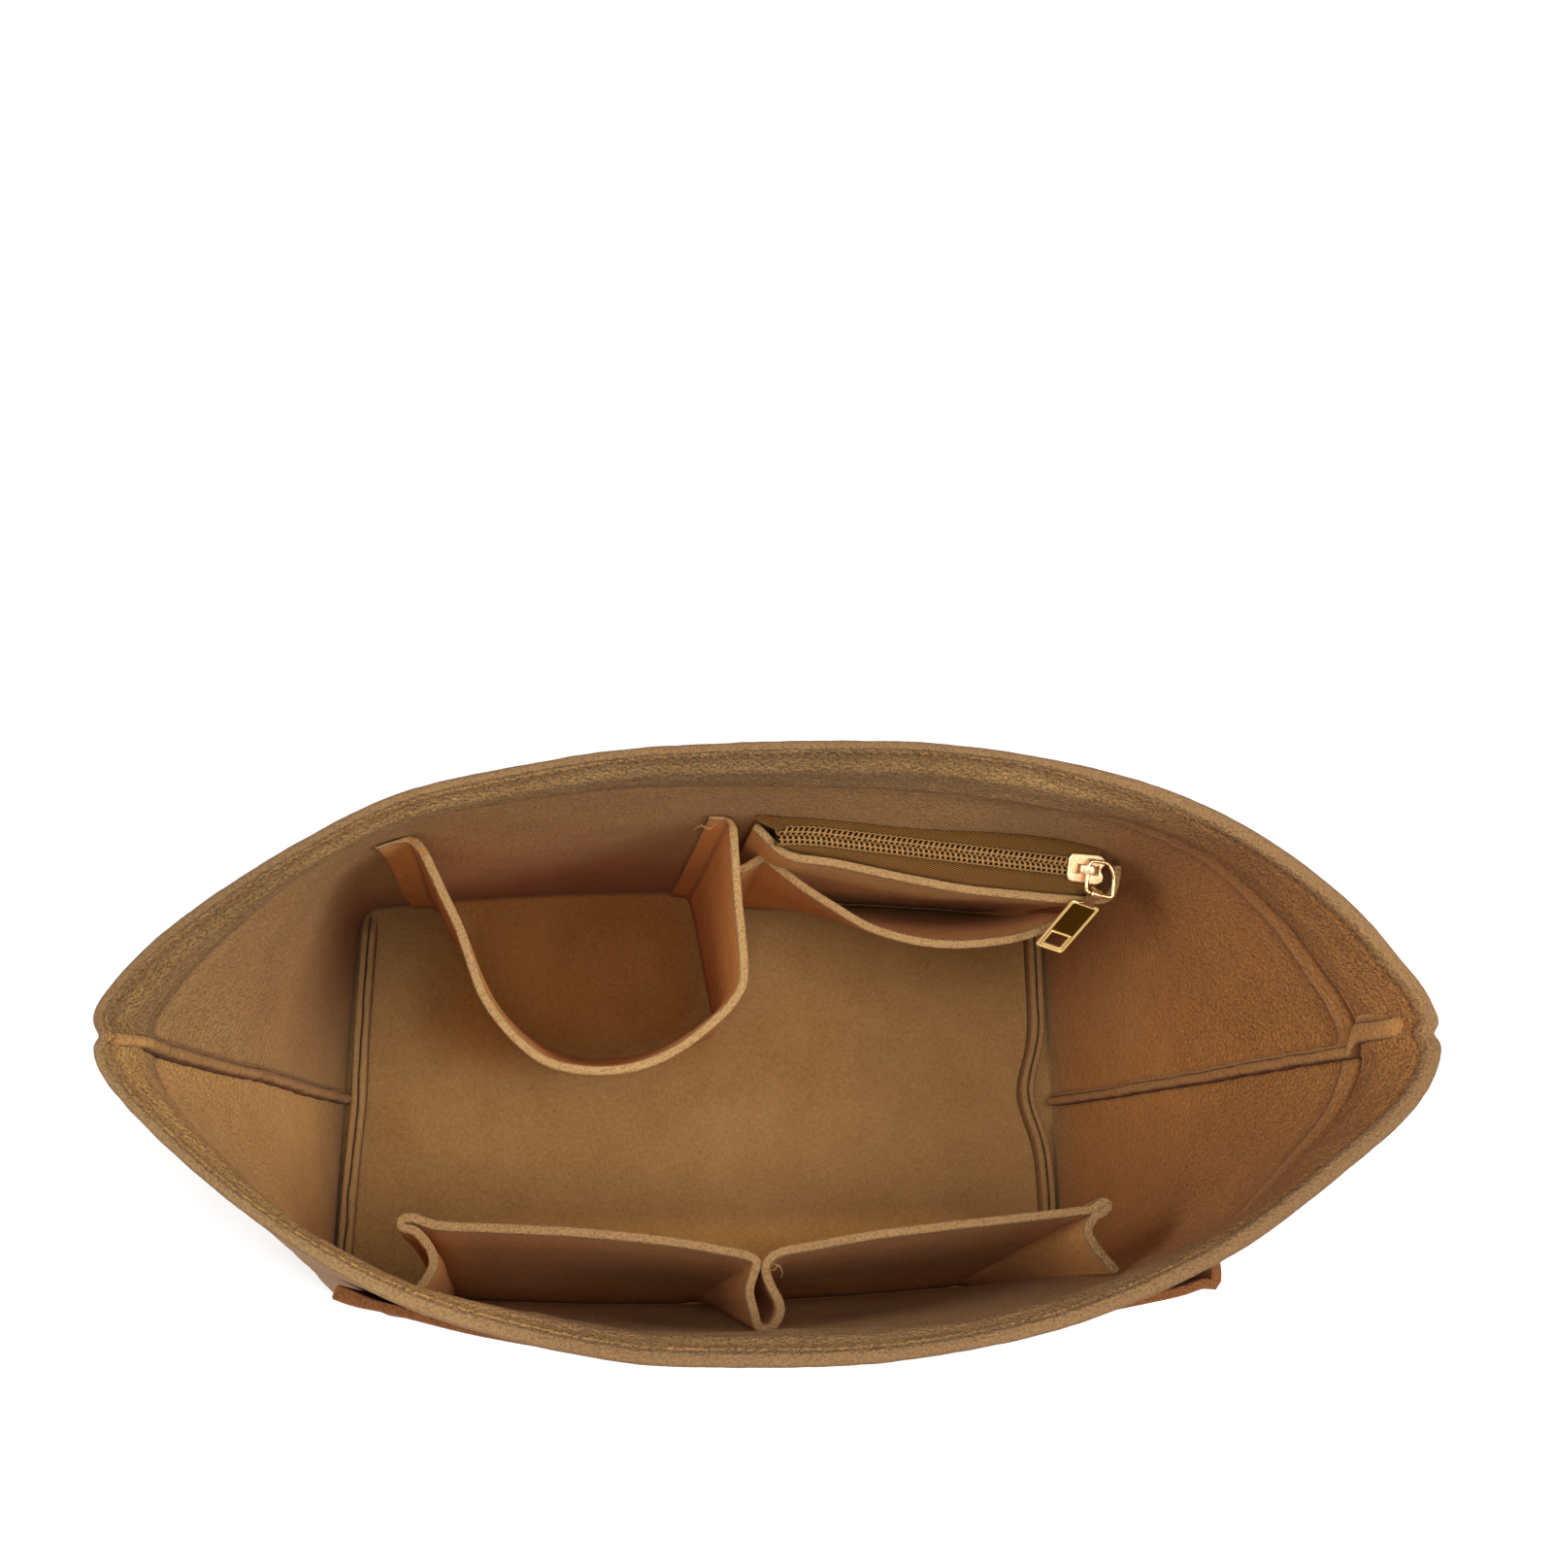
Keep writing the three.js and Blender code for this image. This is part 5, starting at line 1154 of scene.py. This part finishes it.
def front_pockets():
    zt, zb, d = POCKET_Z, 7, FELT / 2 + GAP
    w = lambda x, k=1.1: [x, float(wall_y(-1, x, zt, FELT)) + k]
    # plan at the top: wall, gusset, ear, panel, middle fold, panel, ear, gusset, wall
    top = [w(-110.6), [-106.0, -64.4], [-106.2, -60.0], [-108.8, -55.8], [-112.0, -52.8], [-115.4, -51.9], [-116.2, -49.6], [-113.4, -48.8], [-105, -51.3],
           [-89.0, -52.4], [-59.3, -54.5], [-28.4, -58.3], [-14.4, -61.0], [-6.2, -62.9], [-3.5, -64.8], [-4.7, -69.0], [-6.1, -73.6], [-5.0, -79.4], w(-2.8, 1.7), w(0.9, 1.7),
           [3.8, -80.2], [3.2, -76.8], [0.9, -72.6], [-0.7, -66.4], [2.2, -62.8], [16.9, -59.9], [37.1, -57.0], [57.8, -55.0], [78.8, -53.2], [103, -51.0],
           [109.6, -50.2], [112.6, -48.0], [114.8, -49.2], [113.0, -51.2], [109.6, -53.0], [106.9, -57.2], [109.2, -62.4], w(116.0)]
    top = [list(unwarp([p[0], p[1], zt]))[:2] if k not in (0, 18, 19, 37) else p for k, p in enumerate(top)]
    zl = {0: 17, 1: 16, 2: 15, 3: 13, 4: 11, 5: 9, 6: 8, 7: 7.5}
    zm = {13: 6.8, 14: 6.8, 15: 7, 16: 7.2, 17: 7.6, 18: 8, 19: 8, 20: 7.6, 21: 7.2, 22: 7, 23: 6.8, 24: 6.8}
    low = []
    bx = {8: -96, 9: -84, 10: -54, 11: -29, 12: -19.5, 25: 16, 26: 35, 27: 54, 28: 73, 29: 89}
    lx = {0: -104.2, 1: -103.4, 2: -103.2, 3: -103.6, 4: -104.4, 5: -105.2, 6: -104.2, 7: -101.5, 13: -14.6, 14: -11.8, 15: -9.6, 16: -7.6, 17: -5.4, 18: -3.0, 19: -0.6, 20: 1.8, 21: 4.0, 22: 6.2, 23: 8.4, 24: 10.8,
          30: 93.6, 31: 96.4, 32: 97.6, 33: 97.8, 34: 98.4, 35: 99.8, 36: 101.6, 37: 103.6}
    for k in range(len(top)):
        if k in bx:
            low.append(by_wall(-1, bx[k], zb, d))
            continue
        if k in zl:
            z = zl[k]
        elif k in zm:
            z = zm[k]
        else:
            z = {30: 6.8, 31: 6.8, 32: 7, 33: 7.2, 34: 7.4, 35: 7.8, 36: 8.2, 37: 9}[k]
        depth = {0: 1.1, 1: 2.2, 2: 3.2, 3: 4.0, 4: 4.0, 5: 3.8, 6: 3.2, 7: 2.4, 13: 1.8, 14: 2.0, 15: 2.3, 16: 2.3, 17: 2.0, 18: 1.7, 19: 1.7, 20: 2.0, 21: 2.3, 22: 2.3, 23: 2.0, 24: 1.8,
                 30: 1.8, 31: 2.0, 32: 2.3, 33: 2.3, 34: 2.2, 35: 1.9, 36: 1.6, 37: 1.1}[k]
        low.append(by_wall(-1, lx[k], z, depth))
    fs = np.concatenate([np.linspace(0, 0.93, 26), [0.96, 0.985, 1.0]])
    rows = [[[lerp(b[0], t[0], f), lerp(b[1], t[1], f), lerp(b[2], zt, f)] for b, t in zip(low, top)] for f in fs]
    return spline_rows(rows, step=1.2)


front_pocket_felt = felt_piece("felt_front_pockets", front_pockets(), ["front_pocket_left", "front_pocket_right", "front_gusset_left", "front_gusset_right", "front_gusset_middle_left", "front_gusset_middle_right"], rough=0.25, seed=6)


def outer_pocket():
    zt, zb = OUTER_Z, 4
    off = lambda x, z: wall_y(-1, x, z, -(FELT / 2 + GAP + 0.2))
    t = np.array([[-133.6, -71.0], [-125.6, -74.0], [-114.4, -76.8], [-100, -79.6], [-84, -82.2], [-60, -85.6], [-30, -88.6], [0, -90.0], [30, -89.4], [60, -86.6], [90, -83.2], [116, -79.2], [130, -76.4], [137.5, -74.2]])
    bx = np.array([-118, -111, -101, -88, -73, -52, -26, 0, 26, 52, 78, 98, 108, 116.0])
    fs = np.concatenate([np.linspace(0, 0.95, 30), [0.97, 0.987, 1.0]])[:, None]
    x, z = lerp(bx, t[:, 0], fs), lerp(zb, zt, fs) + bx * 0
    y = lerp(off(bx, bx * 0 + zb), np.minimum(t[:, 1], off(t[:, 0], bx * 0 + zt)), fs)
    rows = np.stack([x, np.minimum(y, off(x, z)), z], -1)
    # the right end turns back to the wall
    x, z = lerp(117.5, 140.6, fs), lerp(zb, zt, fs)
    y = off(x, z)
    knee = np.stack([x, lerp(y, np.minimum(-74.6, y), fs), z], -1)
    x = lerp(118.2, 141.2, fs)
    end = np.stack([x, off(x, z) + fs * 0.9, z], -1)
    rows = np.concatenate([rows, knee, end], 1)
    return spline_rows(rows, step=1.8)


OUT_G = outer_pocket()
s_out = np.concatenate([[0], np.cumsum(np.linalg.norm(np.diff(OUT_G[-1], axis=0), axis=1))])
OUT_TH = 3.0 + 1.5 * smooth(16, 2, s_out) + 1.0 * smooth(s_out[-1] - 20, s_out[-1] - 6, s_out)
outer_pocket_felt = felt_piece("felt_outer_pocket", OUT_G, ["outer_pocket", "outer_gusset_right"], slot="felt_outside", mat=FELT_OUT_SHADED, rough=0.25, seed=7, th=np.broadcast_to(OUT_TH, OUT_G.shape[:2]))


# ------------------------------------------------------------------ zipper
CHAIN = np.array([[5.2, 0, 0], [-30, 0, 0], [-60, 0, 0], [-92, 0, 0], [-98, -0.3, -0.2], [-102, -0.8, -0.8], [-105, -1.3, -1.9], [-108, -1.6, -3.6]])


def chain_yz(x):
    xs = CHAIN[::-1, 0]
    return np.interp(x, xs, CHAIN[::-1, 1]), np.interp(x, xs, CHAIN[::-1, 2])


PITCH = 1.88


def coil(sign):
    p = Parts()
    x1, x0 = 4.9, -107.5
    turns = (x1 - x0) / PITCH
    n = int(turns * 16)
    th = np.linspace(0, turns * 2 * math.pi, n)
    x = x1 - th / (2 * math.pi) * PITCH + (0 if sign > 0 else PITCH / 2)
    x = np.minimum(x, 5.1)
    c, s = np.cos(th), np.sin(th)
    # a flattened loop: long straight tops, tight at both sides
    cy = np.sign(c) * np.abs(c) ** 0.75
    cz = np.sign(s) * np.abs(s) ** 0.8
    y0, z0 = chain_yz(x)
    y = y0 + sign * (1.32 + 1.2 * cy)
    z = z0 + 0.76 * cz
    v, f = tube(zip_world(np.stack([x, y, z], -1)), 0.4, 8, up=E1)
    p.add(v, f)
    o = p.make("coil_" + ("back" if sign > 0 else "front"), NYLON, slot="nylon_coil", sharp=0)
    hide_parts("zipper_coil_" + ("back" if sign > 0 else "front"))
    return o


coil_back, coil_front = coil(1), coil(-1)


def coil_threads():
    """The cord inside each coil and the stitches that hold it to its tape."""
    p = Parts()
    x = np.linspace(4.6, -106.5, 900)
    y0, z0 = chain_yz(x)
    for sign in (1, -1):
        ph = 0 if sign > 0 else math.pi
        for off, r in ((1.36, 0.26), (2.98, 0.2)):
            z = z0 + (1.05 if off < 2 else 0.35) + 0.1 * np.cos(2 * math.pi * x / PITCH + ph)
            y = y0 + sign * off + 0.14 * np.sin(2 * math.pi * x / PITCH + ph)
            v, f = tube(zip_world(np.stack([x, y, z], -1)), r, 6, up=E3)
            p.add(v, f)
    return p.make("coil_stitches", THREAD_PALE, slot="zipper_tape", sharp=0)


coil_stitches = coil_threads()


def core_cords():
    """The cord that each coil is wound round, seen between its turns; its near-black colour is painted shade for the
    gaps.
    """
    p = Parts()
    x = np.linspace(4.4, -106.0, 300)
    y0, z0 = chain_yz(x)
    for sign in (1, -1):
        v, f = tube(zip_world(np.stack([x, y0 + sign * 1.36, z0 + 0.02], -1)), 1.1, 12, up=E3, flat=0.33)
        p.add(v, f)
    return p.make("coil_cords", CORD_SHADE_DARK, slot="zipper_tape", sharp=0)


coil_cords = core_cords()


def tape(sign):
    """Woven tape under a coil. The back one lies against the wall and curls on past the coil's end; the front one turns down behind the felt."""
    xs = np.concatenate([np.linspace(5.2, -92, 90), np.linspace(-93.5, -115 if sign > 0 else -107.5, 20 if sign > 0 else 14)])
    zt = np.array([p + [ZIP_Z] for p in ZIP_TOP])
    fx = np.concatenate([[-0.6, 8.9], zt[:, 0]])
    fy = np.concatenate([[float(wall_y(1, -0.6, ZIP_Z, FELT)) - 2.1, 70.8], zt[:, 1]])
    # dark holds painted shade, near black under the coil and where the tape tucks down
    rows, dark = [], []
    for x in xs:
        cy, cz = (float(a) for a in chain_yz(x))
        past = max(0.0, -104.0 - x)
        if sign > 0:
            cz = cz * math.exp(-past / 3) - 0.6 * (1 - math.exp(-past / 3))
            cy = cy + 0.34 * past
        k = math.exp(-past / 1.5)
        y0 = cy + sign * 3.1
        under = [(cy + sign * 0.45, cz - 1.25 * k), (cy + sign * 1.5, cz - 1.3 * k), (cy + sign * 2.5, cz - 1.2 * k), (cy + sign * 2.95, cz - 0.62 * k), (y0 + sign * 0.35, cz - 0.1 * k)]
        q = zip_world(np.array([[x, a, b] for a, b in under]))
        if sign > 0:
            ys = np.arange(y0 + 0.3, y0 + 14, 0.1)
            w = zip_world(np.stack([ys * 0 + x, ys, ys * 0 + cz], -1))
            hit = w[:, 1] > wall_y(1, w[:, 0], w[:, 2], FELT) - 0.45
            y1 = float(ys[np.argmax(hit)]) if hit.any() else float(ys[-1])
            lim = y1 - 0.25
            q = zip_world(np.array([[x, min(a, lim - 0.22 * (4 - i)), b + 0.25 * (1 - k) * i] for i, (a, b) in enumerate(under)]))
            end = zip_world(np.array([[x, y1, cz + 0.8 * (1 - k)]]))[0]
            fly = [q[-1] + (end - q[-1]) * f + E3 * 0.35 * math.sin(math.pi * f) for f in np.linspace(0, 1, 9)[1:]]
            fly += [fly[-1] + np.array([0, 0.12, -1.2]), fly[-1] + np.array([0, 0.12, -2.6])]
            dk = [0.95 * k + 0.1, 1.0 * k, 1.0 * k, 0.9 * k, 0.4 * k] + [0] * 6 + [0.05, 0.35, 1, 1]
        else:
            px = q[-1][0]
            fel = float(np.interp(px + 0.6, fx, fy)) + FELT / 2 + 0.32
            end = np.array([px + 0.4, fel, ZIP_Z + 0.9])
            turn = zip_world(np.array([x, min(float((end - SLIDER) @ E2) + 0.35, y0 - 0.6), 0.0]))
            fly = [q[-1] * (1 - f) ** 2 + turn * 2 * f * (1 - f) + end * f * f for f in np.linspace(0, 1, 9)[1:]]
            fly += [fly[-1] + np.array([0.05, -0.02, -2.0]), fly[-1] + np.array([0.1, 0.05, -4.5])]
            dk = [0.95, 1.0, 1.0, 0.9, 0.4] + [0] * 6 + [0.0, 0.3, 0.8, 1]
        rows.append(list(q) + fly)
        dark.append(dk)
    W = np.array(rows).transpose(1, 0, 2)  # across, along
    dark = np.array(dark).T
    nj, ni = W.shape[:2]
    # fabric gives a little between the stitches
    sag = 0.14 * noise(W, 7, 81, 2) + 0.16 * noise(W, 22, 82)
    wgt = np.concatenate([np.zeros(5), np.full(nj - 7, 1.0 if sign > 0 else 0.4), [0, 0]])[:, None]
    W = W + (sag * wgt)[..., None] * E3
    v, f, m = thick(W, th=0.6, r=0.2, end_r=0.15, do_warp=False)
    m = 2 * nj + 7
    line = np.zeros((ni + 6, m))
    D = np.concatenate([np.repeat(dark[:, :1], 3, 1), dark, np.repeat(dark[:, -1:], 3, 1)], 1).T
    line[:, :nj], line[:, nj + 7:], line[:, nj:nj + 7] = D, D[:, ::-1], D[:, -1:]
    o = make_mesh("tape_" + ("back" if sign > 0 else "front"), v, f, TAPE, slot="zipper_tape", attrs={"line": line.ravel()}, sharp=50)
    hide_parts("zipper_tape_" + ("back" if sign > 0 else "front"))
    return o


tape_back, tape_front = tape(1), tape(-1)


# ------------------------------------------------------------------ slider, link and tab
def offset_loop(P, d):
    """A closed plan outline moved inwards by d."""
    P = np.asarray(P, float)
    a, b = unit(P - np.roll(P, 1, 0)), unit(np.roll(P, -1, 0) - P)
    na, nb = np.stack([-a[:, 1], a[:, 0]], -1), np.stack([-b[:, 1], b[:, 0]], -1)
    area2 = np.sum(P[:, 0] * np.roll(P[:, 1], -1) - np.roll(P[:, 0], -1) * P[:, 1])
    if area2 < 0:
        na, nb = -na, -nb
    m = na + nb
    k = 1 / np.maximum(0.4, np.einsum("ij,ij->i", m, m) / 2)
    return P + m * k[:, None] * d


def rounded(P, r, n=5):
    """A polygon with its corners rounded."""
    P = np.asarray(P, float)
    out = []
    for i, p in enumerate(P):
        a, b = P[i - 1], P[(i + 1) % len(P)]
        rr = min(r, np.linalg.norm(a - p) * 0.48, np.linalg.norm(b - p) * 0.48)
        A, B = p + unit(a - p) * rr, p + unit(b - p) * rr
        for t in np.linspace(0, 1, n):
            out.append((1 - t) ** 2 * A + 2 * t * (1 - t) * p + t * t * B)
    return np.array(out)


def prism(P, z0, z1, bev=0.3, to=None):
    """A plate with rounded edges from a plan outline."""
    P = np.asarray(P, float)
    steps = [(bev, 0.0), (bev * 0.3, bev * 0.12), (bev * 0.08, bev * 0.4), (0.0, bev)]
    rings = []
    for d, z in steps:
        rings.append(np.column_stack([offset_loop(P, d), np.full(len(P), z0 + z)]))
    for d, z in reversed(steps):
        rings.append(np.column_stack([offset_loop(P, d), np.full(len(P), z1 - z)]))
    V = np.array(rings)
    n, m = V.shape[:2]
    faces = loft_faces(n, m, caps=False)
    verts = V.reshape(-1, 3)
    c0, c1 = V[0].mean(0), V[-1].mean(0)
    verts = np.concatenate([verts, [c0, c1]])
    j = np.arange(m)
    k = (j + 1) % m
    tri = np.concatenate([np.stack([j * 0 + n * m, k, j], -1), np.stack([j * 0 + n * m + 1, (n - 1) * m + j, (n - 1) * m + k], -1)])
    return (to(verts) if to else verts), faces + [tri]


def slider_piece():
    p = Parts()
    HL, W = 6.5, 4.9
    plan = [(-HL, -W + 1.5), (-HL + 1.2, -W + 0.1), (1, -W - 0.1), (4.4, -W - 0.3), (HL - 0.2, -W + 0.9), (HL, -1.9), (HL - 1.5, 0), (HL, 1.9), (HL - 0.2, W - 0.9),
            (4.4, W + 0.3), (1, W + 0.1), (-HL + 1.2, W - 0.1), (-HL, W - 1.5)]
    plan = rounded(plan, 1.0, 4)
    p.add(*prism(plan, 1.45, 2.62, 0.5, zip_world))
    p.add(*prism(plan, -2.4, -1.45, 0.4, zip_world))
    for s in (1, -1):
        fl = [(-HL + 0.7, s * (W - 0.95)), (-HL + 0.9, s * (W - 0.25)), (1, s * (W + 0.02)), (4.3, s * (W + 0.2)), (HL - 0.6, s * (W - 0.75)), (HL - 0.7, s * (W - 1.1))]
        fl = rounded(fl, 0.4, 3)
        p.add(*prism(fl, 0.72, 1.75, 0.2, zip_world))
        p.add(*prism(fl, -1.75, -0.72, 0.2, zip_world))
    post = rounded([(0.7, -0.42), (4.6, -0.3), (4.9, 0), (4.6, 0.3), (0.7, 0.42), (0.2, 0)], 0.3, 3)
    p.add(*prism(post, -1.7, 1.7, 0.08, zip_world))
    # raised rib round the plate and the bridge that holds the link
    path = spline([(-3.35, 0, 2.3), (-3.3, 0, 3.6), (-2.75, 0, 4.9), (-1.6, 0, 5.85), (0.3, 0, 6.2), (2.0, 0, 5.95), (3.2, 0, 5.0), (3.8, 0, 3.7), (3.9, 0, 2.3)], 34)
    t, sd, nn = frames(path, (0, 1, 0))
    # section: wide in y, thin outwards
    sec = rounded([(-1.75, -0.52), (1.75, -0.52), (1.75, 0.52), (-1.75, 0.52)], 0.42, 4)
    wk = 1 - 0.12 * np.sin(np.linspace(0, math.pi, len(path)))
    rings = []
    for q, tt, w in zip(path, t, wk):
        out = np.array([tt[2], 0, -tt[0]])  # away from the arch's inside
        rings.append([q + np.array([0, a * w, 0]) + out * b for a, b in sec])
    p.add(zip_world(np.array(rings).reshape(-1, 3)), loft_faces(len(path), len(sec)))
    # small feet where the bridge joins the plate
    for x in (-3.5, 4.0):
        ft = rounded([(x - 1.0, -2.1), (x + 1.0, -2.1), (x + 1.0, 2.1), (x - 1.0, 2.1)], 0.7, 4)
        p.add(*prism(ft, 2.3, 3.05, 0.3, zip_world))
    o = p.make("slider", ROSE, body="slider", slot="gold_hardware", sharp=35)
    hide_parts("slider_body")
    return o


slider_o = slider_piece()
LINK_Z = lambda x, y: 4.55 - 0.126 * (x - 0.3) - 0.029 * y


def link_piece():
    corners = np.array([[0.2, -7.6], [0.4, 3.2], [7.4, 3.0], [9.9, -0.6], [10.4, -8.9]])
    loop = rounded(corners, 1.9, 8)
    # fill the long sides
    pts = []
    for i, a in enumerate(loop):
        b = loop[(i + 1) % len(loop)]
        k = max(1, int(np.linalg.norm(b - a) / 0.6))
        pts += [a + (b - a) * t / k for t in range(k)]
    pts = np.array(pts)
    path = np.column_stack([pts, LINK_Z(pts[:, 0], pts[:, 1])])
    w = zip_world(path)
    up = zip_world(np.array([[0.125, 0.029, 0.992]]))[0] - SLIDER
    v, f = tube(w, 0.75, 12, up=up, closed=True)
    o = make_mesh("link", v, f, GOLD, body="link", slot="gold_hardware", sharp=0)
    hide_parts("pull_link")
    return o


link_o = link_piece()


def tab_piece():
    eye = zip_world(np.array([3.8, -8.07, LINK_Z(3.8, -8.07)]))
    bar = unit(zip_world(np.array([10.4, -8.9, LINK_Z(10.4, -8.9)])) - zip_world(np.array([0.2, -7.6, LINK_Z(0.2, -7.6)])))
    b = unit(np.array([-0.34, -0.49, -0.80]))
    a = -unit(bar - b * (bar @ b))                          # so that the framed face looks out
    c = np.cross(a, b)
    W = lambda q: eye + q[..., 0:1] * a + q[..., 1:2] * b + q[..., 2:3] * c
    p = Parts()
    w, t0, t1 = 5.5, 5.5, 30.5
    # plate with a raised rim, a sunken field and a framed window
    N = 96
    def loop(x0, x1, y0, y1, r):
        P = rounded([(x0, y0), (x1, y0), (x1, y1), (x0, y1)], r, 6)
        s = np.concatenate([[0], np.cumsum(np.linalg.norm(np.diff(np.vstack([P, P[:1]]), axis=0), axis=1))])
        g = np.linspace(0, s[-1], N, endpoint=False)
        Q = np.vstack([P, P[:1]])
        return np.stack([np.interp(g, s, Q[:, 0]), np.interp(g, s, Q[:, 1])], -1)
    h = 0.7
    def ringset(front):
        k = 1 if front else -1
        return k
    wy0, wy1, wx = t1 - 8.3, t1 - 2.0, w - 2.0
    o0 = lambda d: loop(-w + d, w - d, t0 + d, t1 - d, 1.0 if d < 0.6 else 0.6)
    win = lambda d: loop(-wx - d, wx + d, wy0 - d, wy1 + d, 0.5)
    # walk round the section: outside, front rim, field, window frame, window wall, back
    sect = [(o0(0.0), 0.0), (o0(0.0), h - 0.42), (o0(0.08), h - 0.2), (o0(0.26), h - 0.03), (o0(0.5), h), (o0(0.8), h - 0.04), (o0(1.0), h - 0.28), (o0(1.06), h - 0.62),
            (win(0.72), h - 0.62), (win(0.66), h - 0.28), (win(0.5), h - 0.05), (win(0.32), h), (win(0.12), h - 0.08), (win(0.0), h - 0.3), (win(0.0), -h + 0.3), (win(0.15), -h),
            (win(0.8), -h), (o0(0.5), -h), (o0(0.15), -h + 0.08), (o0(0.0), -h + 0.35)]
    # the field's loops must not cross: the window's frame joins the rim at the far end
    rings = []
    for P, z in sect:
        Q = P.copy()
        rings.append(np.column_stack([Q, np.full(N, z)]))
    V = np.array(rings)
    lim = o0(1.06)
    x0, x1, y0, y1 = lim[:, 0].min(), lim[:, 0].max(), lim[:, 1].min(), lim[:, 1].max()
    for k in range(8, 13):
        V[k, :, 0] = np.clip(V[k, :, 0], x0 + 0.02, x1 - 0.02)
        V[k, :, 1] = np.clip(V[k, :, 1], y0 + 0.02, y1 - 0.02)
    # an angle round the window for each point; nothing uses it
    ang = lambda Q: np.arctan2(Q[:, 0] / w, (Q[:, 1] - (wy0 + wy1) / 2) / 4)
    f = loft_faces(len(V), N, closed=True)
    # edge marks the rims for the painted highlight; field marks the sunken field
    p.add(W(V.reshape(-1, 3)), f, field=np.concatenate([np.full(N, 1.0 if k in (7, 8) else 0.0) for k in range(len(V))]),
          edge=np.concatenate([np.full(N, 1.0 if k in (1, 2, 3, 4, 5, 6, 9, 10, 11, 12, 13) else 0.0) for k in range(len(V))]))
    # neck and eye
    neck = rounded([(-1.9, 1.2), (1.9, 1.2), (1.9, t0 - 0.7), (3.9, t0 + 0.5), (-3.9, t0 + 0.5), (-1.9, t0 - 0.7)], 0.5, 4)
    p.add(*prism(neck, -0.66, 0.66, 0.22, W))
    xs = np.concatenate([[-1.95], np.linspace(-1.75, 1.75, 6), [1.95]])
    prof = []
    m = 24
    an = np.arange(m) / m * 2 * math.pi
    sec = [(-1.9, 1.32), (-1.95, 1.75), (-1.6, 2.05), (1.6, 2.05), (1.95, 1.75), (1.9, 1.32)]
    rings = [[(x, r * math.cos(q), r * math.sin(q)) for q in an] for x, r in sec]
    p.add(W(np.array(rings).reshape(-1, 3)), loft_faces(len(sec), m, closed=True))
    o = p.make("tab", GOLD, body="tab", slot="gold_hardware", sharp=35)
    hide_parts("pull_tab")
    return o


tab_o = tab_piece()


# ------------------------------------------------------------------ loose ends of thread
def thread_ends():
    p = Parts()

    def tail(pts, r=0.16):
        path = spline(np.array(pts, float), step=0.5)
        v, f = tube(path, np.interp(np.linspace(0, 1, len(path)), [0, 0.8, 1], [r, r, r * 0.35]), 6, up=(0.3, 0.2, 1))
        p.add(v, f)
    # by the middle fold of the front pockets, at the bottle pocket's flange and at the right tip
    tail([(-0.3, -66.8, 161.5), (1.6, -67.6, 164.0), (3.0, -66.0, 164.8), (4.4, -68.6, 163.6), (4.0, -70.2, 162.4)])
    tail([(0.8, -65.6, 161.0), (2.6, -65.9, 163.2), (4.2, -67.2, 162.9)])
    tail([(-14.8, 78.6, 163.2), (-17.6, 76.4, 164.6), (-20.2, 77.6, 164.0), (-22.8, 76.2, 163.2)])
    tail([(-14.2, 78.8, 161.2), (-17.2, 77.4, 162.6), (-20.8, 78.9, 162.0)])
    tail([(184.6, 9.6, 235.5), (186.8, 8.4, 238.4), (188.6, 9.6, 238.0), (189.4, 7.9, 239.4)], 0.13)
    tail([(186.2, 2.2, 236.0), (188.4, 3.6, 239.0), (190.2, 2.4, 239.2), (189.6, 0.6, 238.0), (188.2, 1.6, 238.6)], 0.13)
    return p.make("thread_ends", THREAD_PALE, slot="zipper_tape", sharp=0)


threads = thread_ends()


def rim_stitches():
    """The stitches in the groove under the fold: short threads sunk in the felt."""
    p = Parts()
    P = np.vstack([groove, groove[:1]])
    s = np.concatenate([[0], np.cumsum(np.linalg.norm(np.diff(P, axis=0), axis=1))])
    at = lambda q, A: np.stack([np.interp(q, s, np.append(A[:, c], A[0, c])) for c in range(A.shape[1])], -1)
    pitch = 3.7
    for k in range(int(s[-1] / pitch)):
        mid = (k + 0.5) * pitch
        q = mid + np.linspace(-1.05, 1.05, 6)
        line = at(q, groove)
        if abs(line[:, 0]).max() > 186:
            continue
        lift = np.array([-0.35, 0.12, 0.25, 0.25, 0.12, -0.35])
        n = at(q, groove_in)
        line = line + np.concatenate([n, np.full((6, 1), 0.6)], 1) * lift[:, None]
        v, f = tube(line, 0.3, 6)
        p.add(v, f)
    return p.make("rim_stitches", THREAD_BROWN_SHADE, slot="zipper_tape", sharp=0)


rim_threads = rim_stitches()


# ------------------------------------------------------------------ each piece of cloth, its area and its face count
def half_area(o):
    me = o.data
    a = np.empty(len(me.polygons))
    me.polygons.foreach_get("area", a)
    return float(a.sum()) / 2


for o in (felt_body, seam_left, seam_right, ridge_left, ridge_right, bottle_pocket, zip_pocket_felt, slip_pocket_felt, front_pocket_felt, outer_pocket_felt, tape_back, tape_front):
    print("cloth", o.name, round(half_area(o), 5), "m2", len(o.data.polygons), "faces")
